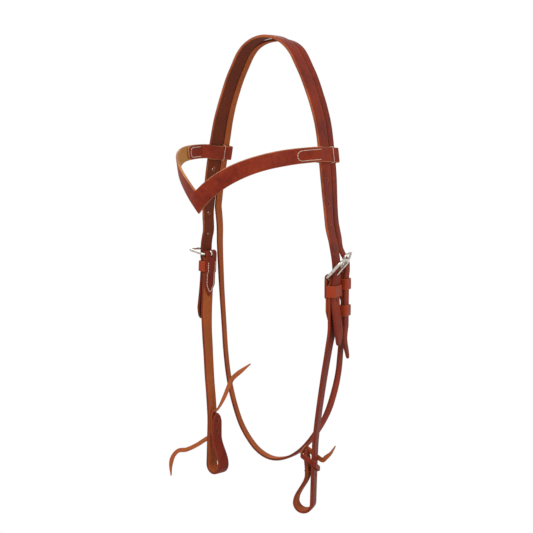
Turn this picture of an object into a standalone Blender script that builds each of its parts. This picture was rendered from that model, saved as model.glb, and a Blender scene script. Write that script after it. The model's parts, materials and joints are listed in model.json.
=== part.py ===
"""A western headstall of harness leather, hanging by its crown strap.

The origin is under the middle of the crown strap, +Z is up, -Y is the front
(the browband side) and +X is the side with the throat latch buckle.
Lengths are metres. Each side of the headstall hangs along a line that is
followed downwards by its drop below the origin, and what is carried there is
placed from that line: outwards from the head, and forwards across the strap.
"""
import math

import bmesh
import bpy
from mathutils import Matrix, Vector

# How the headstall hangs
HANG_DROP = 0.527
HALF_SPREAD = 0.090
FORWARD_LEAN = 0.016
POLL_RADIUS = 0.048
POLL_ANGLE = math.radians(48)
LATCH_SAG = 0.003

# Leather
CROWN_WIDTH = 0.019
BILLET_WIDTH = 0.016
BILLET_DROP = 0.218
CROWN_THICKNESS = 0.0034
CHEEK_WIDTH = 0.016
CHEEK_THICKNESS = 0.0036
CHEEK_FOLD_THICKNESS = 0.0024
LATCH_WIDTH = 0.0098
LATCH_THICKNESS = 0.0030
LATCH_FOLD_THICKNESS = 0.0020
BROW_END_WIDTH = 0.0160
BROW_MIDDLE_WIDTH = 0.0185
BROW_THICKNESS = 0.0032
BROW_LOOP_THICKNESS = 0.0022
EDGE_ROUND = 0.0006

# Fits
FIT_GAP = 0.0003
STRAP_GAP = 0.0013
CUT_OVERRUN = 0.004

# Browband
BROW_DROP = 0.1263
BROW_MIDDLE_DROP = 0.1740
BROW_REACH = 0.1147
BROW_FRONT_PULL = 0.0474
BROW_FRONT_RISE = 0.0470
BROW_SIDE_PULL = 0.0410
BROW_SIDE_DIP = 0.0030
BROW_SLACK = 0.0013
BROW_END_GAP = 0.0018
BROW_FOLD_BACK = 0.040
BROW_FOLD_BLEND = 0.012
BROW_MITRE = 0.011
BROW_TILT = math.radians(12)
BROW_STEPS = 16
BROW_SEARCH_SHARE = 0.002
BROW_STITCH_START = 0.003
BROW_STITCH_END = 0.036

# Where each side's buckle and bit end hang, and how far its buckle stands open
LEFT_TILT = math.radians(85)
RIGHT_TILT = math.radians(42)
LEFT_HOLE_DROP = 0.2474
RIGHT_HOLE_DROP = 0.2545
LEFT_TIP_FLARE = 0.0040
RIGHT_TIP_FLARE = 0.0065
LEFT_BOW_RUN = 0.046
RIGHT_BOW_RUN = 0.055
LEFT_BOTTOM = 0.5045
RIGHT_BOTTOM = 0.5205
LEFT_LEG_LEAN = 0.0
RIGHT_LEG_LEAN = 0.0030

# Cheek buckles
WIRE = 0.0032
BUCKLE_LENGTH = 0.0255
BUCKLE_SIDE_PLAY = 0.00075
BUCKLE_CORNER = 0.0062
TONGUE_WIRE = 0.0024
TONGUE_TIP = 0.0025
TONGUE_SLOT = 0.0046
SLOT_DEPTH = 0.0065

# Throat latch buckle
LATCH_WIRE = 0.0024
LATCH_BUCKLE_LENGTH = 0.019
LATCH_SIDE_PLAY = 0.0005
LATCH_BUCKLE_CORNER = 0.0045
LATCH_TONGUE_WIRE = 0.0020
LATCH_TONGUE_SLOT = 0.0036
LATCH_SLOT_DEPTH = 0.0052
LATCH_HEEL_DROP = 0.2500
LATCH_HEEL_OUT = 0.0040
LATCH_HEEL_RUN = 0.030
LATCH_TIP_FLARE = 0.0095
LATCH_FREE_DROP = 0.190
LATCH_BUCKLE_TILT = math.radians(22)

# Billet holes
HOLE_PITCH = 0.0254
HOLE_DIAMETER = 0.0032
TONGUE_HOLE_PLAY = 0.0009
LATCH_HOLE_PITCH = 0.019
LATCH_HOLE_DIAMETER = 0.0032

# Keepers
KEEPER_LEATHER = 0.0016
KEEPER_LINING = 0.0012
KEEPER_HEIGHT = 0.0125
KEEPER_DROP = 0.0085
KEEPER_PLAY = 0.0004
LATCH_KEEPER_HEIGHT = 0.012
LATCH_FIXED_KEEPER_DROP = 0.0100
LATCH_SLIDING_KEEPER_DROP = 0.0390

# Folded ends at the buckles
FOLD_LENGTH = 0.050
FOLD_POINT = 0.013
LATCH_FOLD_LENGTH = 0.034
LATCH_FOLD_POINT = 0.008
POINT_WIDTH = 0.002

# Billet tips
LEFT_TIP_LENGTH = 0.0765
RIGHT_TIP_LENGTH = 0.0708
LATCH_TIP_LENGTH = 0.0940
TIP_TAPER = 0.012
TIP_WIDTH = 0.006

# Bit ends
BIT_LEG_LENGTH = 0.070
BIT_LOOP_HEIGHT = 0.044
LEFT_LOOP_GAP = 0.0155
RIGHT_LOOP_GAP = 0.016
LEG_END_ROUND = 0.009
LACE_HOLE_DIAMETER = 0.0036
LACE_HOLE_UP = 0.050
LACE_HOLE_PITCH = 0.012

# Laces
LACE_WIDTH = 0.0054
LACE_THICKNESS = 0.0020
LACE_SPACE = 0.0032
LACE_SLOT_UP = 0.043
LACE_SLOT_WIDTH = 0.0070
LACE_SLOT_HEIGHT = 0.0068
LACE_POINT = 0.018
LACE_POINT_WIDTH = 0.0014
LACE_ROLL = 1.2
KNOT_CORNER = 0.0022
KNOT_TOP = 0.0705
KNOT_DROP = 0.0265
KNOT_ARC_SHARE = 0.27

# Stitching
THREAD = 0.0009
DIVIDER_THREAD = 0.0006
THREAD_HOLE = 0.0017
THREAD_LIFT = 0.0004
STITCH_INSET = 0.0026
LATCH_STITCH_INSET = 0.0022
STITCH_START = 0.0095
STITCH_END = 0.0018

# How fine the curved pieces are
ROUND_SIDES = 8
POLL_STEPS = 16
FOLD_STEPS = 8
SMALL_STEP = 0.004
LONG_STEP = 0.012

# The line of each side, as shares of HANG_DROP with shares of HALF_SPREAD, FORWARD_LEAN and TOE
left_spread_shares = (
    (0.057, 0.511), (0.084, 0.600), (0.120, 0.693), (0.142, 0.744), (0.180, 0.813),
    (0.237, 0.876), (0.285, 0.920), (0.332, 0.956),
    (0.380, 0.986), (0.421, 0.950), (0.588, 1.004), (0.636, 0.983), (0.683, 0.944),
    (0.740, 0.901), (0.797, 0.859), (0.845, 0.835), (1.000, 0.830),
)
right_spread_shares = (
    (0.057, 0.511), (0.084, 0.600), (0.120, 0.693), (0.142, 0.744), (0.180, 0.813),
    (0.237, 0.876), (0.285, 0.917), (0.332, 0.951),
    (0.380, 0.980), (0.421, 1.012), (0.588, 1.014), (0.636, 0.981), (0.683, 0.943),
    (0.740, 0.901), (0.797, 0.859), (0.845, 0.835), (1.000, 0.830),
)
lean_shares = (
    (0.000, 0.0), (0.180, 0.0), (0.237, 0.07), (0.285, 0.14), (0.332, 0.19),
    (0.421, 0.18), (0.588, 0.20), (0.636, 0.31), (0.683, 0.43), (0.740, 0.56),
    (0.797, 0.63), (0.845, 0.69), (1.000, 0.90),
)
STRAIGHT_ROW_SHARE = 0.421
TOE = math.radians(10)
left_toe_shares = (
    (0.000, 0.0), (0.126, 0.0), (0.205, 0.5), (0.280, 0.5), (0.350, 0.4), (0.421, 0.5),
    (0.588, 0.2), (0.640, -0.4), (0.740, -0.8), (0.820, -0.7), (0.900, 0.0), (1.000, 0.5),
)
right_toe_shares = (
    (0.000, 0.0), (0.126, 0.3), (0.205, 0.5), (0.280, 0.5), (0.350, 0.95), (0.421, 1.05),
    (0.588, 1.05), (0.640, 1.55), (0.740, 1.85), (0.820, 2.0), (0.900, 2.1), (1.000, 2.1),
)

# The throat latch between its two upper ends, as shares of HALF_SPREAD and HANG_DROP
LATCH_REAR = 0.018
latch_yaw_rows = ((0.4, math.radians(17), 0), (0.75, math.radians(-6), 0))
latch_route_shares = (
    (-0.995, 0.404), (-0.994, 0.449), (-0.968, 0.540),
    (-0.927, 0.631), (-0.900, 0.689), (-0.848, 0.748), (-0.757, 0.803), (-0.617, 0.855),
    (-0.420, 0.893), (-0.240, 0.910), (-0.050, 0.914), (0.175, 0.903), (0.388, 0.879),
    (0.592, 0.841), (0.782, 0.790), (0.892, 0.741), (0.962, 0.691), (0.995, 0.635),
)

# The left lace from its slot, outwards, forwards and up, as shares of BIT_LEG_LENGTH
left_lace_outer_shares = (
    (0.934, 0.0, -0.853), (0.944, 0.0, -0.674), (0.896, 0.0, -0.514), (0.769, 0.0, -0.385),
    (0.584, 0.0, -0.334), (0.354, 0.0, -0.216), (0.140, 0.0, -0.075),
)
left_lace_inner_shares = (
    (-0.049, 0.055, 0.120), (-0.049, 0.050, 0.300), (-0.050, 0.045, 0.400), (-0.072, 0.042, 0.448),
    (-0.145, 0.030, 0.500), (-0.270, 0.015, 0.720), (-0.389, 0.0, 0.990), (-0.460, 0.0, 1.080),
    (-0.796, 0.0, 1.334),
)
LACE_TURN_SHARE = 0.4

# The bend of that lace in its slot, as shares of CHEEK_THICKNESS and LACE_SLOT_HEIGHT
lace_bend_shares = ((0.60, -0.14), (-0.19, -0.01), (-0.75, 0.30), (-0.945, 0.75))

# The free end of the right lace, from the knot, as shares of BIT_LEG_LENGTH
right_lace_tip_shares = (
    (0.250, -0.03, 0.275), (0.175, -0.02, 0.150), (0.100, 0.0, 0.075), (0.035, 0.01, 0.020),
)

# How far down the knot its lace is, by quarter turns, as shares of KNOT_DROP
knot_drop_rows = (
    (-0.5, 0.528), (0, 0.05), (0.27, 0), (1, 0.132), (2, 0.434), (3, 0.811), (4, 0.906), (4.9, 0.906),
)

LEATHER = (0.235, 0.040, 0.016)
PALE_LEATHER = (0.380, 0.120, 0.045)
METAL = (0.620, 0.600, 0.570)
COTTON = (0.750, 0.600, 0.500)


def smooth(rows, x):
    """Value at x of a smooth curve through rows of (x, value) or (x, value, slope)."""
    if x <= rows[0][0]:
        return rows[0][1]
    if x >= rows[-1][0]:
        return rows[-1][1]
    index = 0
    while rows[index + 1][0] < x:
        index += 1
    low, high = rows[index], rows[index + 1]
    span = high[0] - low[0]
    t = (x - low[0]) / span
    slope_low = row_slope(rows, index)
    slope_high = row_slope(rows, index + 1)
    return (
        low[1] * (2 * t ** 3 - 3 * t ** 2 + 1)
        + span * slope_low * (t ** 3 - 2 * t ** 2 + t)
        + high[1] * (3 * t ** 2 - 2 * t ** 3)
        + span * slope_high * (t ** 3 - t ** 2)
    )


def row_slope(rows, index):
    """Slope of the curve at one row: the one given there, or that between its neighbours."""
    if len(rows[index]) == 3:
        return rows[index][2]
    before = rows[max(index - 1, 0)]
    after = rows[min(index + 1, len(rows) - 1)]
    return (after[1] - before[1]) / (after[0] - before[0])


def straight_rows(rows, size):
    """Rows in metres, exactly straight between the two that bound the buckles."""
    sized = [(share * HANG_DROP, value * size) for share, value in rows]
    index = [share for share, _ in rows].index(STRAIGHT_ROW_SHARE)
    low, high = sized[index], sized[index + 1]
    slope = (high[1] - low[1]) / (high[0] - low[0])
    sized[index] = (low[0], low[1], slope)
    sized[index + 1] = (high[0], high[1], slope)
    return sized


class Side:
    """One side of the headstall: sign is +1 on the right and -1 on the left."""

    def __init__(self, name, sign, spread_rows, toe_rows, buckle, bit_end):
        self.name = name
        self.sign = sign
        self.tilt, self.hole_drop, self.bow_run, self.tip_length, self.tip_flare = buckle
        self.bottom, self.loop_gap, self.leg_lean = bit_end
        arch = [(poll_end_drop(), POLL_RADIUS * math.sin(POLL_ANGLE), 1 / math.tan(POLL_ANGLE))]
        self.spread_rows = arch + straight_rows(spread_rows, HALF_SPREAD)
        self.lean_rows = straight_rows(lean_shares, FORWARD_LEAN)
        self.toe_rows = straight_rows(toe_rows, TOE)
        self.heel_drop = self.hole_drop + tongue_height(self.tilt, billet_out(), WIRE, TONGUE_WIRE)

    def centre(self, drop):
        spread = smooth(self.spread_rows, drop)
        lean = smooth(self.lean_rows, drop)
        return Vector((self.sign * spread, -lean, -drop))

    def frame(self, drop):
        """Point on the line and the directions down, out and forwards there."""
        step = SMALL_STEP / 8
        down = (self.centre(drop + step) - self.centre(drop - step)).normalized()
        toe = smooth(self.toe_rows, drop)
        front = Vector((self.sign * math.sin(toe), -math.cos(toe), 0))
        front = (front - down * front.dot(down)).normalized()
        out = self.sign * front.cross(down)
        return self.centre(drop), down, out, front

    def place(self, drop, out_by=0, front_by=0):
        point, _, out, front = self.frame(drop)
        return point + out * out_by + front * front_by

    def heel_frame(self, drop):
        """Matrix whose X is up the strap, Y outwards and Z along a heel bar."""
        point, down, out, _ = self.frame(drop)
        matrix = Matrix.Identity(4)
        for column, direction in enumerate((-down, out, out.cross(down))):
            matrix.col[column][:3] = direction
        matrix.translation = point
        return matrix


def poll_end_drop():
    return POLL_RADIUS * (1 - math.cos(POLL_ANGLE)) - CROWN_THICKNESS / 2


def billet_out():
    """Middle of the billet, outwards from the heel bar that it passes over."""
    return WIRE / 2 + FIT_GAP + CHEEK_FOLD_THICKNESS + FIT_GAP + CROWN_THICKNESS / 2


def latch_billet_out():
    return LATCH_WIRE / 2 + FIT_GAP + LATCH_FOLD_THICKNESS + FIT_GAP + LATCH_THICKNESS / 2


def tongue_offset(wire, tongue_wire):
    """Middle of a tongue, square off the plane of the frame that it lies on."""
    return wire / 2 + FIT_GAP + tongue_wire / 2


def tongue_height(tilt, out_by, wire, tongue_wire):
    """Height above the heel bar at which a tongue crosses the billet's middle."""
    offset = tongue_offset(wire, tongue_wire)
    along = (out_by - offset * math.cos(tilt)) / math.sin(tilt)
    return along * math.cos(tilt) - offset * math.sin(tilt)


def cheek_main_out():
    """Middle of the cheekpiece, outwards from its line."""
    return CHEEK_THICKNESS / 2 - FIT_GAP


def steps_between(start, end, step):
    """Even places from start to end, about a step apart."""
    count = max(1, round(abs(end - start) / step))
    return [start + (end - start) * index / count for index in range(count + 1)]


def spline(points, steps):
    """Points of a smooth curve through the given ones, with some steps between each two."""
    ends = [2 * points[0] - points[1]] + list(points) + [2 * points[-1] - points[-2]]
    curve = []
    for index in range(1, len(ends) - 2):
        before, low, high, after = ends[index - 1:index + 3]
        span = (high - low).length
        leave = (high - before) * (span / (span + (low - before).length))
        arrive = (after - low) * (span / (span + (after - high).length))
        for step in range(steps):
            t = step / steps
            curve.append(
                low * (2 * t ** 3 - 3 * t ** 2 + 1) + leave * (t ** 3 - 2 * t ** 2 + t)
                + high * (3 * t ** 2 - 2 * t ** 3) + arrive * (t ** 3 - t ** 2)
            )
    curve.append(points[-1])
    return curve


def make_material(name, colour, roughness, metallic):
    material = bpy.data.materials.new(name)
    material.use_nodes = True
    shader = material.node_tree.nodes["Principled BSDF"]
    shader.inputs["Base Color"].default_value = (*colour, 1)
    shader.inputs["Roughness"].default_value = roughness
    shader.inputs["Metallic"].default_value = metallic
    return material


def add_object(name, mesh, collection, colour=LEATHER, roughness=0.5, metallic=0):
    piece = bpy.data.objects.new(name, mesh)
    collection.objects.link(piece)
    mesh.materials.append(make_material(name + "_finish", colour, roughness, metallic))
    return piece


def make_strap(name, stations, thickness, columns=2, colour=LEATHER, rounded=True, mirrored=False):
    """A strap through stations of (middle, direction across, width, thickness share)."""
    mesh = bpy.data.meshes.new(name)
    work = bmesh.new()
    bmesh.ops.create_grid(work, x_segments=columns, y_segments=len(stations) - 1, size=1)
    order = sorted(work.verts, key=lambda vert: (round(vert.co.y, 5), round(vert.co.x, 5)))
    weights = {}
    for index, vert in enumerate(order):
        middle, across, width, share = stations[index // (columns + 1)]
        side = (index % (columns + 1)) / columns - 0.5
        vert.co = middle + across * (width * side)
        weights[vert.index] = share
    work.to_mesh(mesh)
    work.free()
    strap = add_object(name, mesh, parts, colour)
    group = strap.vertex_groups.new(name="thickness")
    for index, share in weights.items():
        group.add([index], share, "REPLACE")
    if mirrored:
        other_half = strap.modifiers.new("Other half", "MIRROR")
        other_half.use_bisect_axis[0] = True
        other_half.merge_threshold = FIT_GAP / 10
    solid = strap.modifiers.new("Leather", "SOLIDIFY")
    solid.thickness = thickness
    solid.offset = 0
    solid.use_even_offset = True
    solid.vertex_group = group.name
    if rounded:
        bevel = strap.modifiers.new("Edges", "BEVEL")
        bevel.width = EDGE_ROUND
        bevel.segments = 1
        bevel.angle_limit = math.radians(50)
    return strap


def make_tube(name, points, diameter, colour, closed=False, metallic=0, roughness=0.6):
    """A round wire or thread through points, with closed ends unless it is a ring."""
    curve = bpy.data.curves.new(name, "CURVE")
    curve.dimensions = "3D"
    curve.bevel_depth = diameter / 2
    curve.bevel_resolution = 2
    curve.use_fill_caps = True
    line = curve.splines.new("POLY")
    line.points.add(len(points) - 1)
    for target, point in zip(line.points, points):
        target.co = (*point, 1)
    line.use_cyclic_u = closed
    piece = bpy.data.objects.new(name, curve)
    parts.objects.link(piece)
    curve.materials.append(make_material(name + "_finish", colour, roughness, metallic))
    return piece


def cut(strap, cutter_list):
    """Cut a list of closed solids out of a strap, with one Boolean for all of them."""
    holder = bpy.data.collections.new(strap.name + "_cutters")
    cutters.children.link(holder)
    for cutter in cutter_list:
        holder.objects.link(cutter)
        cutter.hide_render = True
        cutter.display_type = "WIRE"
    boolean = strap.modifiers.new("Holes", "BOOLEAN")
    boolean.operation = "DIFFERENCE"
    boolean.operand_type = "COLLECTION"
    boolean.collection = holder
    boolean.solver = "EXACT"


def drill(name, point, direction, diameter, depth):
    """A round cutter through a point, along a direction."""
    mesh = bpy.data.meshes.new(name)
    work = bmesh.new()
    bmesh.ops.create_cone(
        work, cap_ends=True, segments=ROUND_SIDES,
        radius1=diameter / 2, radius2=diameter / 2, depth=depth,
    )
    work.to_mesh(mesh)
    work.free()
    cutter = bpy.data.objects.new(name, mesh)
    turn = direction.to_track_quat("Z", "Y").to_matrix().to_4x4()
    cutter.matrix_world = Matrix.Translation(point) @ turn
    return cutter


def box_cutter(name, frame, sizes, middle):
    """A box cutter with its sizes and middle given in a frame."""
    mesh = bpy.data.meshes.new(name)
    work = bmesh.new()
    bmesh.ops.create_cube(work, size=1)
    bmesh.ops.scale(work, vec=sizes, verts=work.verts)
    work.to_mesh(mesh)
    work.free()
    cutter = bpy.data.objects.new(name, mesh)
    cutter.matrix_world = frame @ Matrix.Translation(middle)
    return cutter


def crown_out(side, drop):
    """How far the crown strap lies outside its line: over the heel bar, then on the cheekpiece."""
    lying = cheek_main_out() + CHEEK_THICKNESS / 2 + FIT_GAP + CROWN_THICKNESS / 2
    heel = side.heel_drop
    rows = (
        (heel - side.bow_run, 0, 0),
        (heel - KEEPER_DROP, billet_out(), 0),
        (heel + WIRE, billet_out(), 0),
        (heel + KEEPER_DROP, lying, 0),
        (heel + KEEPER_DROP + KEEPER_HEIGHT, lying, 0),
        (heel + side.tip_length, lying + side.tip_flare),
    )
    return smooth(rows, drop)


def crown_width(drop):
    rows = ((BROW_DROP + BROW_END_WIDTH, CROWN_WIDTH, 0), (BILLET_DROP, BILLET_WIDTH, 0))
    return smooth(rows, drop)


def tip_width(width, distance, end_width=TIP_WIDTH):
    """Width of a billet at a distance from its pointed end."""
    if distance >= TIP_TAPER:
        return width
    return end_width + (width - end_width) * math.sqrt(distance / TIP_TAPER)


def crown_side_stations(side):
    """Stations of the crown strap from the end of the poll bend to the billet's tip."""
    tip = side.heel_drop + side.tip_length
    drops = steps_between(poll_end_drop(), side.heel_drop - 2 * BUCKLE_LENGTH, LONG_STEP)[1:]
    drops += steps_between(drops[-1], side.heel_drop + KEEPER_DROP, SMALL_STEP)[1:]
    drops += steps_between(drops[-1], tip - TIP_TAPER, LONG_STEP)[1:]
    drops += steps_between(drops[-1], tip, SMALL_STEP)[1:]
    stations = []
    for drop in drops:
        width = tip_width(crown_width(drop), tip - drop)
        middle = side.place(drop, crown_out(side, drop))
        stations.append((middle, side.frame(drop)[3], width, 1))
    return stations


def poll_stations(front_by, sag, width):
    """Stations over the poll, from left to right."""
    stations = []
    for angle in steps_between(-POLL_ANGLE, POLL_ANGLE, 2 * POLL_ANGLE / POLL_STEPS):
        radius = POLL_RADIUS - sag * math.cos(math.pi * angle / (2 * POLL_ANGLE)) ** 2
        height = radius * math.cos(angle) - POLL_RADIUS + CROWN_THICKNESS / 2
        middle = Vector((radius * math.sin(angle), -front_by, height))
        stations.append((middle, Vector((0, -1, 0)), width, 1))
    return stations


def make_crown_strap():
    stations = list(reversed(crown_side_stations(left)))
    stations += poll_stations(0, 0, CROWN_WIDTH)
    stations += crown_side_stations(right)
    strap = make_strap("crown_strap", stations, CROWN_THICKNESS)
    holes = []
    depth = CROWN_THICKNESS + 2 * CUT_OVERRUN
    for side in (left, right):
        for number in range(-4, 2):
            drop = side.hole_drop + number * HOLE_PITCH
            point, _, out, _ = side.frame(drop)
            point = point + out * crown_out(side, drop)
            name = f"{side.name}_billet_hole_{number + 4}"
            if number == 0:
                heel = side.heel_frame(side.heel_drop)
                direction = heel.to_3x3() @ Vector((math.cos(side.tilt), math.sin(side.tilt), 0))
                diameter = TONGUE_WIRE + 2 * TONGUE_HOLE_PLAY
                holes.append(drill(name, point, direction, diameter, depth))
            else:
                holes.append(drill(name, point, out, HOLE_DIAMETER, depth))
    cut(strap, holes)


def fold_rows(wire, fold_thickness, main_out, main_thickness, length, keeper_end, keeper_drop):
    """Section of a strap folded round a heel bar: (up, out, thickness share) from the inner tip."""
    share = fold_thickness / main_thickness
    radius = wire / 2 + FIT_GAP + fold_thickness / 2
    inner_face = main_out - main_thickness / 2 - FIT_GAP - fold_thickness / 2
    places = steps_between(length, keeper_end + SMALL_STEP, SMALL_STEP)
    rows = [(-place, inner_face, share) for place in places]
    lined = inner_face - KEEPER_LINING - FIT_GAP
    rows += [(-place, lined, share) for place in steps_between(keeper_end, wire, SMALL_STEP)]
    for angle in steps_between(-math.pi / 2, math.pi / 2, math.pi / FOLD_STEPS):
        rows.append((radius * math.cos(angle), radius * math.sin(angle), share))
    for place in steps_between(wire, 2 * keeper_drop, SMALL_STEP):
        blend = smooth(((wire, 0, 0), (keeper_drop, 1, 0)), place)
        out = radius + (main_out - radius) * blend
        rows.append((-place, out, share + (1 - share) * blend))
    return rows


def point_width(width, distance, point):
    """Width of a folded end that comes to a point."""
    if distance >= point:
        return width
    return POINT_WIDTH + (width - POINT_WIDTH) * distance / point


def loop_rows(side):
    """Section of a bit end: (up from its bottom, out, thickness share), down, then up again."""
    half = side.loop_gap / 2 + CHEEK_THICKNESS / 2
    outer = cheek_main_out()
    closed = outer - CHEEK_THICKNESS - LACE_SPACE
    middle = outer - half
    rows = []
    for place in steps_between(BIT_LOOP_HEIGHT, 1.5 * half, 2 * SMALL_STEP):
        rows.append((place, outer, 1))
    for angle in steps_between(0, math.pi, math.pi / (FOLD_STEPS + 1)):
        rise = half * (1 - math.sin(angle)) + CHEEK_THICKNESS / 2
        rows.append((rise, middle + half * math.cos(angle), 1))
    curve = (
        (half + CHEEK_THICKNESS / 2, outer - 2 * half, 0), (BIT_LOOP_HEIGHT, closed, 0),
        (BIT_LEG_LENGTH, closed - side.leg_lean, -side.leg_lean / LACE_HOLE_PITCH / 2),
    )
    for place in steps_between(1.6 * half, BIT_LEG_LENGTH - LEG_END_ROUND, 1.4 * SMALL_STEP):
        rows.append((place, smooth(curve, place), 1))
    for place in steps_between(BIT_LEG_LENGTH - LEG_END_ROUND, BIT_LEG_LENGTH, LEG_END_ROUND / 3)[1:]:
        rows.append((place, smooth(curve, place), 1))
    return rows


def leg_out(side, up):
    """Middle of the folded-up leg of a bit end, at a height above the end's bottom."""
    rows = loop_rows(side)
    leg = [(place, out_by) for place, out_by, _ in rows[len(rows) // 2:]]
    return smooth(leg, up)


def leg_width(up):
    """Width of the folded-up leg, whose end is rounded."""
    from_end = min(1, (BIT_LEG_LENGTH - up) / LEG_END_ROUND)
    return CHEEK_WIDTH * (TIP_WIDTH / CHEEK_WIDTH + (1 - TIP_WIDTH / CHEEK_WIDTH) * math.sqrt(from_end))


def bit_frame(side, up, out_by=0):
    """Right-handed matrix at a height above a bit end's bottom: X is outwards and Z up.

    Y is then forwards on the left side and backwards on the right side.
    """
    point, down, out, front = side.frame(side.bottom - up)
    matrix = Matrix.Identity(4)
    for column, direction in enumerate((out, -side.sign * front, -down)):
        matrix.col[column][:3] = direction
    matrix.translation = point + out * out_by
    return matrix


def make_cheekpiece(side):
    heel = side.heel_frame(side.heel_drop)
    front = side.frame(side.heel_drop)[3]
    fold = cheek_fold_rows()
    stations = []
    for number, (up, out_by, share) in enumerate(fold):
        width = CHEEK_WIDTH
        if number < len(fold) / 2:
            width = point_width(CHEEK_WIDTH, FOLD_LENGTH + up, FOLD_POINT)
        stations.append((heel @ Vector((up, out_by, 0)), front, width, share))
    start = side.heel_drop - fold[-1][0]
    for drop in steps_between(start, side.bottom - BIT_LOOP_HEIGHT, LONG_STEP)[1:-1]:
        stations.append((side.place(drop, cheek_main_out()), side.frame(drop)[3], CHEEK_WIDTH, 1))
    rows = loop_rows(side)
    for number, (up, out_by, share) in enumerate(rows):
        width = leg_width(up) if number > len(rows) / 2 else CHEEK_WIDTH
        drop = side.bottom - up
        stations.append((side.place(drop, out_by), side.frame(drop)[3], width, share))
    strap = make_strap(side.name + "_cheekpiece", stations, CHEEK_THICKNESS)
    holes = [box_cutter(
        side.name + "_tongue_slot", heel,
        (2 * SLOT_DEPTH, 4 * SLOT_DEPTH, TONGUE_SLOT), (0, 0, 0),
    )]
    for number in range(2):
        up = LACE_HOLE_UP + number * LACE_HOLE_PITCH
        place = bit_frame(side, up, leg_out(side, up))
        name = f"{side.name}_lace_hole_{number}"
        out = place.to_3x3() @ Vector((1, 0, 0))
        holes.append(drill(name, place.translation, out, LACE_HOLE_DIAMETER, CHEEK_THICKNESS + LACE_SPACE))
    place = bit_frame(side, LACE_SLOT_UP, cheek_main_out()) @ Matrix.Rotation(math.radians(-45), 4, "X")
    slot_sizes = (CHEEK_THICKNESS + LACE_SPACE, LACE_SLOT_WIDTH, LACE_SLOT_HEIGHT)
    holes.append(box_cutter(side.name + "_lace_slot", place, slot_sizes, (0, 0, 0)))
    line = cheek_stitch_line()
    holes += stitch_holes(side.name + "_cheek", heel, line, CHEEK_FOLD_THICKNESS)
    cut(strap, holes)
    make_heel_stitching(side.name + "_cheek_stitching", heel, line)


def cheek_fold_rows():
    keeper_end = KEEPER_DROP + KEEPER_HEIGHT + FIT_GAP
    return fold_rows(
        WIRE, CHEEK_FOLD_THICKNESS, cheek_main_out(), CHEEK_THICKNESS, FOLD_LENGTH, keeper_end, KEEPER_DROP,
    )


def stitch_line(rows, fold_thickness, width, inset, length, point):
    """A V of stitching on the inner face of a folded end: points in the heel bar's frame."""
    leg = sorted((up, out_by) for up, out_by, _ in rows[:len(rows) // 2] if up < 0)
    line = []
    for place in steps_between(STITCH_START, length - STITCH_END - inset, SMALL_STEP):
        face = smooth(leg, -place) - fold_thickness / 2 - THREAD_LIFT - THREAD / 2
        across = point_width(width, length - place, point) / 2 - inset
        line.append(Vector((-place, face, max(across, 0))))
    return line


def cheek_stitch_line():
    rows = cheek_fold_rows()
    return stitch_line(rows, CHEEK_FOLD_THICKNESS, CHEEK_WIDTH, STITCH_INSET, FOLD_LENGTH, FOLD_POINT)


def latch_stitch_line():
    rows = latch_fold_rows()
    return stitch_line(
        rows, LATCH_FOLD_THICKNESS, LATCH_WIDTH, LATCH_STITCH_INSET, LATCH_FOLD_LENGTH, LATCH_FOLD_POINT,
    )


def stitch_holes(name, heel, line, fold_thickness):
    """The two holes that a V of stitching goes into."""
    holes = []
    out = heel.to_3x3() @ Vector((0, 1, 0))
    into = THREAD_LIFT + THREAD / 2 + fold_thickness / 2
    depth = fold_thickness + THREAD_LIFT
    for sign in (-1, 1):
        middle = heel @ Vector((line[0].x, line[0].y + into, sign * line[0].z))
        holes.append(drill(f"{name}_stitch_hole_{sign + 1}", middle, out, THREAD_HOLE, depth))
    return holes


def make_heel_stitching(name, heel, line):
    """A V of thread, its two upper ends turned into the leather."""
    into = Vector((0, THREAD_LIFT + THREAD, 0))
    one = [point.copy() for point in line]
    other = [Vector((point.x, point.y, -point.z)) for point in line]
    points = [one[0] + into] + one + list(reversed(other)) + [other[0] + into]
    make_tube(name, [heel @ point for point in points], THREAD, COTTON)


def ring_points(width, length, corner):
    """A rounded frame, its heel bar on the Z axis and its nose at +X."""
    half = width / 2
    points = []
    centres = (
        (length - corner, half - corner, 0), (length - corner, corner - half, -90),
        (corner / 2, corner / 2 - half, -180), (corner / 2, half - corner / 2, -270),
    )
    for x, z, start in centres:
        radius = corner if x > corner else corner / 2
        for step in range(5):
            angle = math.radians(start + 90 - 90 * step / 4)
            points.append(Vector((x + radius * math.cos(angle), 0, z + radius * math.sin(angle))))
    return points


def make_frame(name, heel, tilt, width, length, corner, wire):
    turn = Matrix.Rotation(tilt, 4, "Z")
    ring = make_tube(name, ring_points(width, length, corner), wire, METAL, True, 1, 0.3)
    ring.matrix_world = heel @ turn
    return ring


def make_tongue(name, heel, tilt, length, wire, tongue_wire):
    """A tongue that curls round the heel bar and lies along the outside of the frame."""
    offset = tongue_offset(wire, tongue_wire)
    points = []
    for angle in steps_between(math.radians(-10), math.radians(-270), math.radians(26)):
        points.append(Vector((offset * math.cos(angle), offset * math.sin(angle), 0)))
    reach = length + TONGUE_TIP
    for along in steps_between(0, reach, 2 * SMALL_STEP)[1:]:
        points.append(Vector((along, offset, 0)))
    tongue = make_tube(name, points, tongue_wire, METAL, False, 1, 0.3)
    tongue.matrix_world = heel @ Matrix.Rotation(tilt, 4, "Z")
    return tongue


def make_cheek_buckle(side):
    heel = side.heel_frame(side.heel_drop)
    width = 2 * cheek_buckle_half() - WIRE
    make_frame(side.name + "_cheek_buckle_frame", heel, side.tilt, width, BUCKLE_LENGTH, BUCKLE_CORNER, WIRE)
    make_tongue(side.name + "_cheek_buckle_tongue", heel, side.tilt, BUCKLE_LENGTH, WIRE, TONGUE_WIRE)


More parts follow.
